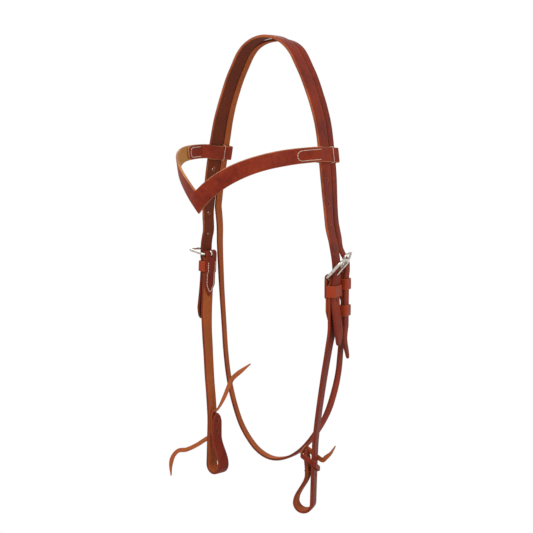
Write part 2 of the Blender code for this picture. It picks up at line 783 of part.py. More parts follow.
def make_keeper(name, frame, low, high, half_width, height, lining):
    """A closed loop of leather round the layers from low to high, at its frame's origin."""
    half = KEEPER_LEATHER / 2
    share = lining / KEEPER_LEATHER
    inner = low - FIT_GAP - lining / 2
    outer = high + FIT_GAP + half
    side_out = half_width + KEEPER_PLAY + half
    corner = 2 * half
    stations = []
    corners = (
        (outer - corner, side_out - corner), (inner + corner, side_out - corner),
        (inner + corner, corner - side_out), (outer - corner, corner - side_out),
    )
    ring = [(0, outer, 1)]
    for number, (out_by, across) in enumerate(corners):
        for step in range(3):
            angle = math.pi / 2 * (number + step / 2)
            thick = 1 if out_by > (inner + outer) / 2 else share
            ring.append((across + corner * math.sin(angle), out_by + corner * math.cos(angle), thick))
    ring.append(ring[0])
    for across, out_by, thick in ring:
        stations.append((Vector((0, out_by, across)), Vector((1, 0, 0)), height, thick))
    keeper = make_strap(name, stations, KEEPER_LEATHER, 1, PALE_LEATHER, False)
    keeper.matrix_world = frame
    weld = keeper.modifiers.new("Join", "WELD")
    weld.merge_threshold = FIT_GAP / 10
    keeper.modifiers.move(1, 0)


def make_cheek_keeper(side):
    centre = side.heel_drop + KEEPER_DROP + KEEPER_HEIGHT / 2
    frame = side.heel_frame(centre)
    low = cheek_main_out() - CHEEK_THICKNESS / 2
    high = crown_out(side, centre) + CROWN_THICKNESS / 2
    name = side.name + "_cheek_keeper"
    make_keeper(name, frame, low, high, CHEEK_WIDTH / 2, KEEPER_HEIGHT, KEEPER_LINING)


def latch_base(drop):
    """How far the throat latch's line on the right lies outside the side's line."""
    heel = LATCH_HEEL_DROP
    rows = ((heel - LATCH_HEEL_RUN, 0, 0), (heel - 2 * LATCH_WIRE, LATCH_HEEL_OUT, 0))
    return smooth(rows, drop)


def latch_out(drop):
    """How far the throat latch's right end and billet lie outside the side's line."""
    lying = latch_main_out() + LATCH_THICKNESS + FIT_GAP
    heel = LATCH_HEEL_DROP
    rows = (
        (heel - 1.3 * LATCH_BUCKLE_LENGTH, 0, 0),
        (heel - 2 * LATCH_WIRE, latch_billet_out(), 0),
        (heel + LATCH_WIRE, latch_billet_out(), 0),
        (heel + LATCH_FIXED_KEEPER_DROP - LATCH_WIRE, lying, 0),
        (heel + 2 * LATCH_SLIDING_KEEPER_DROP - LATCH_KEEPER_HEIGHT, lying, 0),
        (heel + LATCH_TIP_LENGTH, lying + LATCH_TIP_FLARE),
    )
    return latch_base(drop) + smooth(rows, drop)


def latch_main_out():
    """Middle of the throat latch's lower end, outwards from its line."""
    return LATCH_THICKNESS / 2 - FIT_GAP


def latch_front(drop):
    """Where the throat latch lies behind the crown strap: close at first, then clear."""
    close = -(CROWN_WIDTH / 2 + STRAP_GAP + LATCH_WIDTH / 2)
    clear = -(cheek_buckle_half() + FIT_GAP + latch_buckle_half())
    rows = ((LATCH_FREE_DROP, close, 0), (LATCH_HEEL_DROP - LATCH_BUCKLE_LENGTH, clear, 0))
    return smooth(rows, drop)


def cheek_buckle_half():
    """Half the width of a cheek buckle's frame, wire included."""
    return BILLET_WIDTH / 2 + BUCKLE_SIDE_PLAY + WIRE


def latch_buckle_half():
    return LATCH_WIDTH / 2 + LATCH_SIDE_PLAY + LATCH_WIRE


def latch_heel():
    """Frame of the throat latch buckle's heel bar."""
    frame = right.heel_frame(LATCH_HEEL_DROP)
    drop = LATCH_HEEL_DROP
    frame.translation = right.place(drop, latch_base(drop), latch_front(drop))
    return frame


def latch_fold_rows():
    keeper_end = LATCH_FIXED_KEEPER_DROP + LATCH_KEEPER_HEIGHT + FIT_GAP
    return fold_rows(
        LATCH_WIRE, LATCH_FOLD_THICKNESS, latch_main_out(), LATCH_THICKNESS,
        LATCH_FOLD_LENGTH, keeper_end, LATCH_FIXED_KEEPER_DROP,
    )


def across_path(points, across_at_start, across_at_end):
    """Directions across the hanging throat latch, from one end to the other."""
    directions = []
    last = len(points) - 1
    for index, point in enumerate(points):
        share = index / last
        near_end = smooth(((0, 1, 0), (0.22, 0, 0), (0.78, 0, 0), (1, 1, 0)), share)
        end_across = across_at_start if share < 0.5 else across_at_end
        yaw = smooth(latch_yaw_rows, share)
        across_between = Vector((math.sin(yaw), -math.cos(yaw), 0))
        wanted = end_across * near_end + across_between * (1 - near_end)
        tangent = points[min(index + 1, last)] - points[max(index - 1, 0)]
        tangent = tangent.normalized()
        directions.append((wanted - tangent * wanted.dot(tangent)).normalized())
    return directions


def make_throat_latch_strap():
    tip = LATCH_HEEL_DROP + LATCH_TIP_LENGTH
    stations = []
    drops = steps_between(tip, tip - TIP_TAPER, SMALL_STEP)
    drops += steps_between(drops[-1], LATCH_HEEL_DROP + LATCH_FIXED_KEEPER_DROP, LONG_STEP / 2)[1:]
    drops += steps_between(drops[-1], LATCH_HEEL_DROP - 2 * LATCH_BUCKLE_LENGTH, SMALL_STEP)[1:]
    drops += steps_between(drops[-1], poll_end_drop(), LONG_STEP)[1:-1]
    for drop in drops:
        middle = right.place(drop, latch_out(drop), latch_front(drop))
        width = tip_width(LATCH_WIDTH, tip - drop, LATCH_WIDTH / 3)
        stations.append((middle, right.frame(drop)[3], width, 1))
    poll_front = latch_front(poll_end_drop())
    stations += list(reversed(poll_stations(poll_front, LATCH_SAG, LATCH_WIDTH)))
    for drop in steps_between(poll_end_drop(), LATCH_FREE_DROP, LONG_STEP)[1:]:
        middle = left.place(drop, 0, latch_front(drop))
        stations.append((middle, left.frame(drop)[3], LATCH_WIDTH, 1))
    heel = latch_heel()
    rows = list(reversed(latch_fold_rows()))
    folded_down = LATCH_SLIDING_KEEPER_DROP + 2 * LATCH_KEEPER_HEIGHT
    straight_end = heel @ Vector((-folded_down, latch_main_out(), 0))
    route = [stations[-1][0]]
    for spread_share, drop_share in latch_route_shares:
        route.append(Vector((spread_share * HALF_SPREAD, LATCH_REAR, -drop_share * HANG_DROP)))
    route.append(straight_end)
    points = spline(route, 3)
    front = right.frame(LATCH_HEEL_DROP)[3]
    directions = across_path(points, stations[-1][1], front)
    stations += [(point, across, LATCH_WIDTH, 1) for point, across in zip(points, directions)][1:]
    for down in steps_between(folded_down, -rows[0][0], LONG_STEP)[1:-1]:
        stations.append((heel @ Vector((-down, latch_main_out(), 0)), front, LATCH_WIDTH, 1))
    for number, (up, out_by, share) in enumerate(rows):
        width = LATCH_WIDTH
        if number > len(rows) / 2:
            width = point_width(LATCH_WIDTH, LATCH_FOLD_LENGTH + up, LATCH_FOLD_POINT)
        stations.append((heel @ Vector((up, out_by, 0)), front, width, share))
    strap = make_strap("throat_latch_strap", stations, LATCH_THICKNESS)
    slot = box_cutter(
        "latch_tongue_slot", heel,
        (2 * LATCH_SLOT_DEPTH, 4 * LATCH_FOLD_THICKNESS, LATCH_TONGUE_SLOT), (0, 0, 0),
    )
    holes = [slot]
    hole_up = tongue_height(LATCH_BUCKLE_TILT, latch_billet_out(), LATCH_WIRE, LATCH_TONGUE_WIRE)
    tilt = LATCH_BUCKLE_TILT
    for number in range(-4, 2):
        drop = LATCH_HEEL_DROP - hole_up + number * LATCH_HOLE_PITCH
        out = right.frame(drop)[2]
        point = right.place(drop, latch_out(drop), latch_front(drop))
        diameter = LATCH_HOLE_DIAMETER
        depth = LATCH_THICKNESS + FIT_GAP
        if number == 0:
            out = heel.to_3x3() @ Vector((math.cos(tilt), math.sin(tilt), 0))
            diameter = LATCH_TONGUE_WIRE + 2 * TONGUE_HOLE_PLAY
            depth = LATCH_THICKNESS / math.sin(tilt) + 2 * CUT_OVERRUN
        holes.append(drill(f"latch_hole_{number + 4}", point, out, diameter, depth))
    line = latch_stitch_line()
    holes += stitch_holes("latch", heel, line, LATCH_FOLD_THICKNESS)
    cut(strap, holes)
    make_heel_stitching("throat_latch_stitching", heel, line)


def make_throat_buckle():
    heel = latch_heel()
    tilt = LATCH_BUCKLE_TILT
    width = 2 * latch_buckle_half() - LATCH_WIRE
    length = LATCH_BUCKLE_LENGTH
    make_frame("throat_buckle_frame", heel, tilt, width, length, LATCH_BUCKLE_CORNER, LATCH_WIRE)
    make_tongue("throat_buckle_tongue", heel, tilt, length, LATCH_WIRE, LATCH_TONGUE_WIRE)


def make_throat_keepers():
    heel = latch_heel()
    lying = latch_main_out() + LATCH_THICKNESS + FIT_GAP
    high = lying + LATCH_THICKNESS / 2
    low = latch_main_out() - LATCH_THICKNESS / 2
    half_height = LATCH_KEEPER_HEIGHT / 2
    fixed = heel @ Matrix.Translation((-LATCH_FIXED_KEEPER_DROP - half_height, 0, 0))
    make_keeper(
        "throat_fixed_keeper", fixed, low, high, LATCH_WIDTH / 2, LATCH_KEEPER_HEIGHT, KEEPER_LINING,
    )
    sliding = heel @ Matrix.Translation((-LATCH_SLIDING_KEEPER_DROP - half_height, 0, 0))
    make_keeper(
        "throat_sliding_keeper", sliding, low, high, LATCH_WIDTH / 2, LATCH_KEEPER_HEIGHT, KEEPER_LEATHER,
    )


def brow_middle_out():
    """Middle of the browband's end, outwards from the line of the strap that it goes round."""
    return CROWN_THICKNESS / 2 + BROW_SLACK + BROW_THICKNESS / 2


def brow_curve():
    """The four handles of the right half of the browband, from its middle to the strap."""
    front = right.frame(BROW_DROP)[3]
    end = right.place(BROW_DROP, brow_middle_out(), CROWN_WIDTH / 2 + BROW_END_GAP)
    start = Vector((0, -BROW_REACH, -BROW_MIDDLE_DROP))
    pull = Vector((BROW_FRONT_PULL, 0, BROW_FRONT_RISE))
    return start, start + pull, end + front * BROW_SIDE_PULL - Vector((0, 0, BROW_SIDE_DIP)), end


def brow_point(share):
    """Point on the browband's middle line, and the direction of the line there."""
    start, first, second, end = brow_curve()
    rest = 1 - share
    point = (
        start * rest ** 3 + first * (3 * rest ** 2 * share)
        + second * (3 * rest * share ** 2) + end * share ** 3
    )
    along = (
        (first - start) * rest ** 2 + (second - first) * (2 * rest * share)
        + (end - second) * share ** 2
    )
    return point, along.normalized()


def brow_station(share):
    """Middle, outward face direction and direction up across the band, at a share of it."""
    point, along = brow_point(share)
    flat = Vector((along.y, -along.x, 0)).normalized()
    tilt = BROW_TILT * (1 - share)
    wanted = Vector((0, 0, math.cos(tilt))) + flat * math.sin(tilt)
    square = (wanted - along * wanted.dot(along)).normalized()
    full = wanted / square.dot(wanted)
    mitre = max(0, 1 - (point - brow_point(0)[0]).length / BROW_MITRE)
    across = square.lerp(full, mitre)
    return point, along.cross(square).normalized(), across


def brow_share(distance):
    """Share of the browband's half at a distance along it from the strap."""
    share = 1
    point = brow_point(share)[0]
    gone = 0
    while gone < distance:
        share -= BROW_SEARCH_SHARE
        onward = brow_point(share)[0]
        gone += (onward - point).length
        point = onward
    return share


def brow_place(distance, out_by, up_by=0):
    """Point on the right end of the browband, by its distance from the strap."""
    point, out, across = brow_station(brow_share(distance))
    return point + out * out_by + across * up_by


def make_browband():
    thin = BROW_LOOP_THICKNESS / BROW_THICKNESS
    stations = []
    for share in steps_between(0, 1, 1 / BROW_STEPS):
        point, _, across = brow_station(share)
        width = BROW_MIDDLE_WIDTH + (BROW_END_WIDTH - BROW_MIDDLE_WIDTH) * share
        stations.append((point, across, width, 1))
    up = -right.frame(BROW_DROP)[1]
    outer = CROWN_THICKNESS / 2 + BROW_SLACK + BROW_LOOP_THICKNESS / 2
    start = CROWN_WIDTH / 2 + BROW_END_GAP
    rear = latch_front(BROW_DROP) - LATCH_WIDTH / 2
    rows = [(outer, place) for place in steps_between(start, rear, LONG_STEP / 2)[1:]]
    for angle in steps_between(0, math.pi, math.pi / FOLD_STEPS)[1:]:
        rows.append((outer * math.cos(angle), rear - outer * math.sin(angle)))
    rows += [(-outer, place) for place in steps_between(rear, start - LONG_STEP / 4, LONG_STEP / 2)[1:]]
    for out_by, front_by in rows:
        stations.append((right.place(BROW_DROP, out_by, front_by), up, BROW_END_WIDTH, thin))
    lying = -(BROW_THICKNESS / 2 + FIT_GAP + BROW_LOOP_THICKNESS / 2)
    blend = ((0, -outer - brow_middle_out(), 0), (BROW_FOLD_BLEND, lying, 0))
    for distance in steps_between(0, BROW_FOLD_BACK, SMALL_STEP)[1:]:
        across = brow_station(brow_share(distance))[2]
        point = brow_place(distance, smooth(blend, distance))
        stations.append((point, across, BROW_END_WIDTH, thin))
    last = stations[-1]
    stations[-1] = (last[0], last[1], BROW_END_WIDTH * 0.8, thin)
    band = make_strap("browband", stations, BROW_THICKNESS, mirrored=True)
    holes = []
    up_by = BROW_END_WIDTH / 2 - STITCH_INSET
    distance = BROW_STITCH_START
    out = brow_station(brow_share(distance))[1]
    for sign in (-1, 1):
        for up_sign in (-1, 1):
            point = on_side(brow_place(distance, 0, up_sign * up_by), sign)
            name = f"brow_stitch_hole_{sign + 1}_{up_sign + 1}"
            holes.append(drill(name, point, on_side(out, sign), THREAD_HOLE, 2 * BROW_THICKNESS))
    cut(band, holes)


def on_side(vector, sign):
    return Vector((sign * vector.x, vector.y, vector.z))


def make_brow_stitching(name, sign):
    """A U of thread on the outside of one end of the browband, open towards the strap."""
    face = BROW_THICKNESS / 2 + THREAD_LIFT + THREAD / 2
    up_by = BROW_END_WIDTH / 2 - STITCH_INSET
    places = steps_between(BROW_STITCH_START, BROW_STITCH_END, SMALL_STEP)
    points = [brow_place(places[0], 0, up_by)]
    points += [brow_place(place, face, up_by) for place in places]
    points += [brow_place(place, face, -up_by) for place in reversed(places)]
    points.append(brow_place(places[0], 0, -up_by))
    make_tube(name, [on_side(point, sign) for point in points], THREAD, COTTON)


def make_brow_divider(name, sign):
    """A ring of thread round the folded end of the browband, between the two straps in it."""
    out_by = CROWN_THICKNESS / 2 + BROW_SLACK + BROW_LOOP_THICKNESS + THREAD_LIFT + DIVIDER_THREAD / 2
    up_by = BROW_END_WIDTH / 2 + THREAD_LIFT + DIVIDER_THREAD / 2
    _, down, out, front = right.frame(BROW_DROP)
    middle = right.place(BROW_DROP, 0, -(CROWN_WIDTH + STRAP_GAP) / 2)
    points = []
    corner = 2 * DIVIDER_THREAD
    for quarter in range(4):
        out_sign = 1 if quarter in (0, 3) else -1
        up_sign = 1 if quarter in (0, 1) else -1
        for step in range(3):
            angle = math.pi / 2 * (quarter + step / 2)
            along = out_sign * (out_by - corner) + corner * math.cos(angle)
            up = up_sign * (up_by - corner) + corner * math.sin(angle)
            points.append(on_side(middle + out * along - down * up, sign))
    make_tube(name, points, DIVIDER_THREAD, COTTON, True)


def lace_stations(points, faces):
    """Stations of a lace with two pointed ends, from its points and the way its face turns there."""
    lengths = [0]
    for index in range(1, len(points)):
        lengths.append(lengths[-1] + (points[index] - points[index - 1]).length)
    stations = []
    last = len(points) - 1
    for index, (point, face) in enumerate(zip(points, faces)):
        tangent = points[min(index + 1, last)] - points[max(index - 1, 0)]
        across = tangent.cross(face).normalized()
        from_end = min(lengths[index], lengths[-1] - lengths[index], LACE_POINT)
        width = LACE_POINT_WIDTH + (LACE_WIDTH - LACE_POINT_WIDTH) * from_end / LACE_POINT
        stations.append((point, across, width, 1))
    return stations


def make_lace(name, place, route):
    """A lace along a route of (point, face direction) in a bit end's frame."""
    points = spline([place @ point for point, _ in route], 2)
    turned = [place.to_3x3() @ face for _, face in route]
    faces = [turned[0]]
    for low, high in zip(turned, turned[1:]):
        faces += [(low + high).normalized(), high]
    make_strap(name, lace_stations(points, faces), LACE_THICKNESS, 1, rounded=False)


def scaled(shares, size):
    return Vector([share * size for share in shares])


def make_left_tie():
    """The untied lace: in through the slot, forwards between the legs and up past their edge."""
    place = bit_frame(left, LACE_SLOT_UP, cheek_main_out())
    diagonal = Vector((0, 1, 1)).normalized()
    inward = Vector((-1, 0, 0))
    route = []
    for shares in left_lace_outer_shares:
        face = Vector((-shares[2], 0, -shares[0])).normalized() + Vector((0, -LACE_ROLL, 0))
        route.append((scaled(shares, BIT_LEG_LENGTH), face.normalized()))
    for out_share, diagonal_share in lace_bend_shares:
        point = diagonal * (diagonal_share * LACE_SLOT_HEIGHT)
        point.x = out_share * CHEEK_THICKNESS
        turn = max(0, min(1, 0.5 - out_share))
        route.append((point, (inward * turn - diagonal * (1 - turn)).normalized()))
    backward = Vector((0, -1, 0))
    for number, shares in enumerate(left_lace_inner_shares):
        turn = max(0, min(1, (number - 3) * LACE_TURN_SHARE))
        face = (inward * (1 - turn) + backward * turn).normalized()
        route.append((scaled(shares, BIT_LEG_LENGTH), face))
    make_lace("left_bit_tie", place, route)


def make_right_tie():
    """The tied lace: a free end, then more than a turn down round both legs."""
    place = bit_frame(right, 0)
    lift = 2 * FIT_GAP + LACE_THICKNESS / 2
    outer = cheek_main_out() + CHEEK_THICKNESS / 2 + lift
    side_by = CHEEK_WIDTH / 2 + lift
    corner = KNOT_CORNER
    route = []
    start = KNOT_TOP - KNOT_DROP * knot_drop_rows[0][1]
    for shares in right_lace_tip_shares:
        point = scaled(shares, BIT_LEG_LENGTH) + Vector((outer, side_by, start))
        route.append((point, Vector((0, 1, 0))))
    quarters = 5
    steps = 3
    for number in range(quarters * steps):
        quarter = number // steps
        turned = number % steps / (steps - 1)
        up = KNOT_TOP - KNOT_DROP * smooth(knot_drop_rows, quarter + turned * KNOT_ARC_SHARE)
        inner = leg_out(right, up + LACE_WIDTH / 2) - CHEEK_THICKNESS / 2 - lift
        middle_out = outer - corner if quarter % 4 in (2, 3) else inner + corner
        middle_back = side_by - corner if quarter % 4 in (3, 0) else corner - side_by
        angle = math.pi / 2 * (quarter + 1 + turned)
        face = Vector((math.cos(angle), math.sin(angle), 0))
        route.append((Vector((middle_out, middle_back, up)) + face * corner, face))
    end = KNOT_TOP - KNOT_DROP * knot_drop_rows[-1][1]
    route.append((Vector((inner, 0, end)), Vector((-1, 0, 0))))
    make_lace("right_bit_tie", place, route)


def remove_start_objects():
    for item in list(bpy.data.objects):
        bpy.data.objects.remove(item, do_unlink=True)


remove_start_objects()
parts = bpy.data.collections.new("western_headstall")
cutters = bpy.data.collections.new("cutters")
bpy.context.scene.collection.children.link(parts)
bpy.context.scene.collection.children.link(cutters)

left = Side(
    "left", -1, left_spread_shares, left_toe_shares,
    (LEFT_TILT, LEFT_HOLE_DROP, LEFT_BOW_RUN, LEFT_TIP_LENGTH, LEFT_TIP_FLARE),
    (LEFT_BOTTOM, LEFT_LOOP_GAP, LEFT_LEG_LEAN),
)
right = Side(
    "right", 1, right_spread_shares, right_toe_shares,
    (RIGHT_TILT, RIGHT_HOLE_DROP, RIGHT_BOW_RUN, RIGHT_TIP_LENGTH, RIGHT_TIP_FLARE),
    (RIGHT_BOTTOM, RIGHT_LOOP_GAP, RIGHT_LEG_LEAN),
)

make_crown_strap()
for side in (left, right):
    make_cheekpiece(side)
    make_cheek_buckle(side)
    make_cheek_keeper(side)
make_throat_latch_strap()
make_throat_buckle()
make_throat_keepers()
make_browband()
make_brow_stitching("browband_left_stitching", -1)
make_brow_stitching("browband_right_stitching", 1)
make_brow_divider("browband_left_divider", -1)
make_brow_divider("browband_right_divider", 1)
make_left_tie()
make_right_tie()
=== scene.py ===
"""A western headstall of oiled russet harness leather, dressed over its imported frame.

Each strap is swept along the same line as its solid, with domed faces, rounded
edges, punched holes and real stitches. Lengths are metres.
"""
import json
import math

import bmesh
import bpy
from mathutils import Matrix, Vector, noise

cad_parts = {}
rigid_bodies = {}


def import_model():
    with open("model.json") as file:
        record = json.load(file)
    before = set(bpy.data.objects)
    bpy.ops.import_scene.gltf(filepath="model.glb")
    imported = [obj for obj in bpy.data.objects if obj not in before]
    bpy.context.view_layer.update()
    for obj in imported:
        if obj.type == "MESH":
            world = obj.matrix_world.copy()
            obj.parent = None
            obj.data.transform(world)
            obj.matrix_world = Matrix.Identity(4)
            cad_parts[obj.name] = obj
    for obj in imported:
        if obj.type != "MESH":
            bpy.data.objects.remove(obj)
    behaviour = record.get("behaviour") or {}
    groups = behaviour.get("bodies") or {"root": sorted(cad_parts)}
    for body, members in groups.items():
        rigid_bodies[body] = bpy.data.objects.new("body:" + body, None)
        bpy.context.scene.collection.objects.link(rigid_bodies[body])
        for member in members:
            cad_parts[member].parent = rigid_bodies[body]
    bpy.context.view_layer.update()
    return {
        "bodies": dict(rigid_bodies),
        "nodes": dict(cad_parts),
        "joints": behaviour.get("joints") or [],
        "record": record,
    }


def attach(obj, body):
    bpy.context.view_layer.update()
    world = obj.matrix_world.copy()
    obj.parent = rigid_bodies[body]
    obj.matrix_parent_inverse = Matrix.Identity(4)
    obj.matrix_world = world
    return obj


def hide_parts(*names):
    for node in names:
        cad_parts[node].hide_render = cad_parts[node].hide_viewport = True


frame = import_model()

# How the headstall hangs
HANG_DROP = 0.527
HALF_SPREAD = 0.090
FORWARD_LEAN = 0.016
POLL_RADIUS = 0.048
POLL_ANGLE = math.radians(48)
LATCH_SAG = 0.003

# Leather
CROWN_WIDTH = 0.019
BILLET_WIDTH = 0.016
BILLET_DROP = 0.218
CROWN_THICKNESS = 0.0034
BROW_END_WIDTH = 0.0160
BROW_MIDDLE_WIDTH = 0.0185
BROW_THICKNESS = 0.0032
BROW_LOOP_THICKNESS = 0.0022

# Fits
FIT_GAP = 0.0003
STRAP_GAP = 0.0013
CUT_OVERRUN = 0.004

# Browband
BROW_DROP = 0.1263
BROW_MIDDLE_DROP = 0.1740
BROW_REACH = 0.1147
BROW_FRONT_PULL = 0.0474
BROW_FRONT_RISE = 0.0470
BROW_SIDE_PULL = 0.0410
BROW_SIDE_DIP = 0.0030
BROW_SLACK = 0.0013
BROW_END_GAP = 0.0018
BROW_FOLD_BACK = 0.040
BROW_FOLD_BLEND = 0.012
BROW_MITRE = 0.011
BROW_TILT = math.radians(12)
BROW_MIDDLE_OUT = CROWN_THICKNESS / 2 + BROW_SLACK + BROW_THICKNESS / 2
BROW_STEPS = 48
BROW_SEARCH_SHARE = 0.002
BROW_STITCH_START = 0.003
BROW_STITCH_END = 0.036

# Buckles
TONGUE_TIP = 0.0025
TONGUE_HOLE_PLAY = 0.0009
HOLE_NUMBERS = range(-4, 2)

# The right end of the throat latch
LATCH_HEEL_DROP = 0.2500
LATCH_HEEL_OUT = 0.0040
LATCH_HEEL_RUN = 0.030
LATCH_TIP_FLARE = 0.0095
LATCH_FREE_DROP = 0.190
LATCH_BUCKLE_TILT = math.radians(22)

# Keepers
KEEPER_LEATHER = 0.0016
KEEPER_LINING = 0.0012
KEEPER_PLAY = 0.0004
LATCH_SLIDING_KEEPER_DROP = 0.0390

# Tips
POINT_WIDTH = 0.002
LATCH_TIP_LENGTH = 0.0940
TIP_TAPER = 0.012
TIP_WIDTH = 0.006

# Bit ends
BIT_LEG_LENGTH = 0.070
BIT_LOOP_HEIGHT = 0.044
LEG_END_ROUND = 0.009
LACE_HOLE_DIAMETER = 0.0036
LACE_HOLE_UP = 0.050
LACE_HOLE_PITCH = 0.012

# Laces
LACE_WIDTH = 0.0054
LACE_THICKNESS = 0.0020
LACE_SPACE = 0.0032
LACE_SLOT_UP = 0.043
LACE_SLOT_WIDTH = 0.0070
LACE_SLOT_HEIGHT = 0.0068
LACE_POINT = 0.018
LACE_POINT_WIDTH = 0.0014
LACE_ROLL = 1.2
KNOT_CORNER = 0.0022
KNOT_TOP = 0.0705
KNOT_DROP = 0.0265
KNOT_ARC_SHARE = 0.27
KNOT_QUARTERS = 5
KNOT_STEPS = 3

# Stitching
THREAD = 0.0009
DIVIDER_THREAD = 0.0006
THREAD_LIFT = 0.0004
STITCH_START = 0.0095
STITCH_END = 0.0018

# How fine the curved pieces are
POLL_STEPS = 40
FOLD_STEPS = 20
SMALL_STEP = 0.0015
LONG_STEP = 0.004

# The line of each side, as shares of HANG_DROP with shares of HALF_SPREAD, FORWARD_LEAN and TOE
upper_spread_shares = (
    (0.057, 0.511), (0.084, 0.600), (0.120, 0.693), (0.142, 0.744), (0.180, 0.813), (0.237, 0.876),
)
lower_spread_shares = ((0.740, 0.901), (0.797, 0.859), (0.845, 0.835), (1.000, 0.830))
left_spread_shares = upper_spread_shares + (
    (0.285, 0.920), (0.332, 0.956), (0.380, 0.986), (0.421, 0.950), (0.588, 1.004), (0.636, 0.983),
    (0.683, 0.944),
) + lower_spread_shares
right_spread_shares = upper_spread_shares + (
    (0.285, 0.917), (0.332, 0.951), (0.380, 0.980), (0.421, 1.012), (0.588, 1.014), (0.636, 0.981),
    (0.683, 0.943),
) + lower_spread_shares
lean_shares = (
    (0.000, 0.0), (0.180, 0.0), (0.237, 0.07), (0.285, 0.14), (0.332, 0.19),
    (0.421, 0.18), (0.588, 0.20), (0.636, 0.31), (0.683, 0.43), (0.740, 0.56),
    (0.797, 0.63), (0.845, 0.69), (1.000, 0.90),
)
STRAIGHT_ROW_SHARE = 0.421
TOE = math.radians(10)
left_toe_shares = (
    (0.000, 0.0), (0.126, 0.0), (0.205, 0.5), (0.280, 0.5), (0.350, 0.4), (0.421, 0.5),
    (0.588, 0.2), (0.640, -0.4), (0.740, -0.8), (0.820, -0.7), (0.900, 0.0), (1.000, 0.5),
)
right_toe_shares = (
    (0.000, 0.0), (0.126, 0.3), (0.205, 0.5), (0.280, 0.5), (0.350, 0.95), (0.421, 1.05),
    (0.588, 1.05), (0.640, 1.55), (0.740, 1.85), (0.820, 2.0), (0.900, 2.1), (1.000, 2.1),
)

# The throat latch between its two upper ends, as shares of HALF_SPREAD and HANG_DROP
LATCH_REAR = 0.018
latch_end_rows = ((0, 1, 0), (0.22, 0, 0), (0.78, 0, 0), (1, 1, 0))
latch_yaw_rows = ((0.4, math.radians(17), 0), (0.75, math.radians(-6), 0))
latch_route_shares = (
    (-0.995, 0.404), (-0.994, 0.449), (-0.968, 0.540),
    (-0.927, 0.631), (-0.900, 0.689), (-0.848, 0.748), (-0.757, 0.803), (-0.617, 0.855),
    (-0.420, 0.893), (-0.240, 0.910), (-0.050, 0.914), (0.175, 0.903), (0.388, 0.879),
    (0.592, 0.841), (0.782, 0.790), (0.892, 0.741), (0.962, 0.691), (0.995, 0.635),
)

# The left lace from its slot, outwards, forwards and up, as shares of BIT_LEG_LENGTH
left_lace_outer_shares = (
    (0.934, 0.0, -0.853), (0.944, 0.0, -0.674), (0.896, 0.0, -0.514), (0.769, 0.0, -0.385),
    (0.584, 0.0, -0.334), (0.354, 0.0, -0.216), (0.140, 0.0, -0.075),
)
left_lace_inner_shares = (
    (-0.049, 0.055, 0.120), (-0.049, 0.050, 0.300), (-0.050, 0.045, 0.400), (-0.072, 0.042, 0.448),
    (-0.145, 0.030, 0.500), (-0.270, 0.015, 0.720), (-0.389, 0.0, 0.990), (-0.460, 0.0, 1.080),
    (-0.796, 0.0, 1.334),
)
LACE_TURN_SHARE = 0.4

# The bend of that lace in its slot, as shares of cheek.thickness and LACE_SLOT_HEIGHT
lace_bend_shares = ((0.60, -0.14), (-0.19, -0.01), (-0.75, 0.30), (-0.945, 0.75))

# The free end of the right lace, from the knot, as shares of BIT_LEG_LENGTH
right_lace_tip_shares = (
    (0.250, -0.03, 0.275), (0.175, -0.02, 0.150), (0.100, 0.0, 0.075), (0.035, 0.01, 0.020),
)

# How far down the knot its lace is, by quarter turns, as shares of KNOT_DROP
knot_drop_rows = (
    (-0.5, 0.528), (0, 0.05), (0.27, 0), (1, 0.132), (2, 0.434), (3, 0.811), (4, 0.906), (4.9, 0.906),
)

# The forms that the solids leave out
FACE_COLUMNS = 6
STRAP_EDGE = 0.0010
STRAP_SAG = 0.00012
KEEPER_EDGE = 0.0006
KEEPER_SAG = 0.00008
LACE_EDGE = 0.0006
WANDER = 0.0003
WANDER_PITCH = 45
GIRTH_STEP = 0.0011
END_ANGLES = [math.radians(angle) for angle in (0, 30, 60, 80)]
TUBE_END_ANGLES = [math.radians(angle) for angle in (0, 25, 50, 75)]
TUBE_SIDES = 16
HOLE_SIDES = 24
HOLE_RIM = 0.00035
RING_CORNER_STEPS = 10
KEEPER_CORNER_STEPS = 8
DIVIDER_CORNER = 0.0016
DIVIDER_CORNER_STEPS = 6
DIVIDER_SIZE = 0.0006
BROW_FOLD_ROUND = 0.006
BROW_U_LENGTH = 1.0
LACE_STEPS = 6
ROUTE_STEPS = 8
TONGUE_TAPER = 0.72
TONGUE_CURL = (math.radians(-10), math.radians(-270), math.radians(13))
TUBE_START = Vector((0.31, 0.17, 0.93))
EDGE_LIMIT = 0.8
EDGE_ROWS = ((55, 1, 0.55), (22, 0.75, 0.95), (-22, 0.25, 0.95), (-55, 0, 0.55))
END_RIM = 0.9
SLOT_ROUND = 0.45
SLOT_ROUND_STEPS = 5
SLOT_UPRIGHT = 0.9
SLOT_TURN = math.radians(-45)
BROW_END_SHARE = 0.62

# Stitches
THREAD_SIZE = 0.0009
STITCH_PITCH = 0.0029
STITCH_RINGS = 6
STITCH_CLEAR = 0.10
STITCH_RISE = 0.62
STITCH_SINK = 0.22
STITCH_SLANT = 0.35
THREAD_PINCH = 0.62
RISE_POWER = 0.6
STITCH_BEND_STEPS = 8

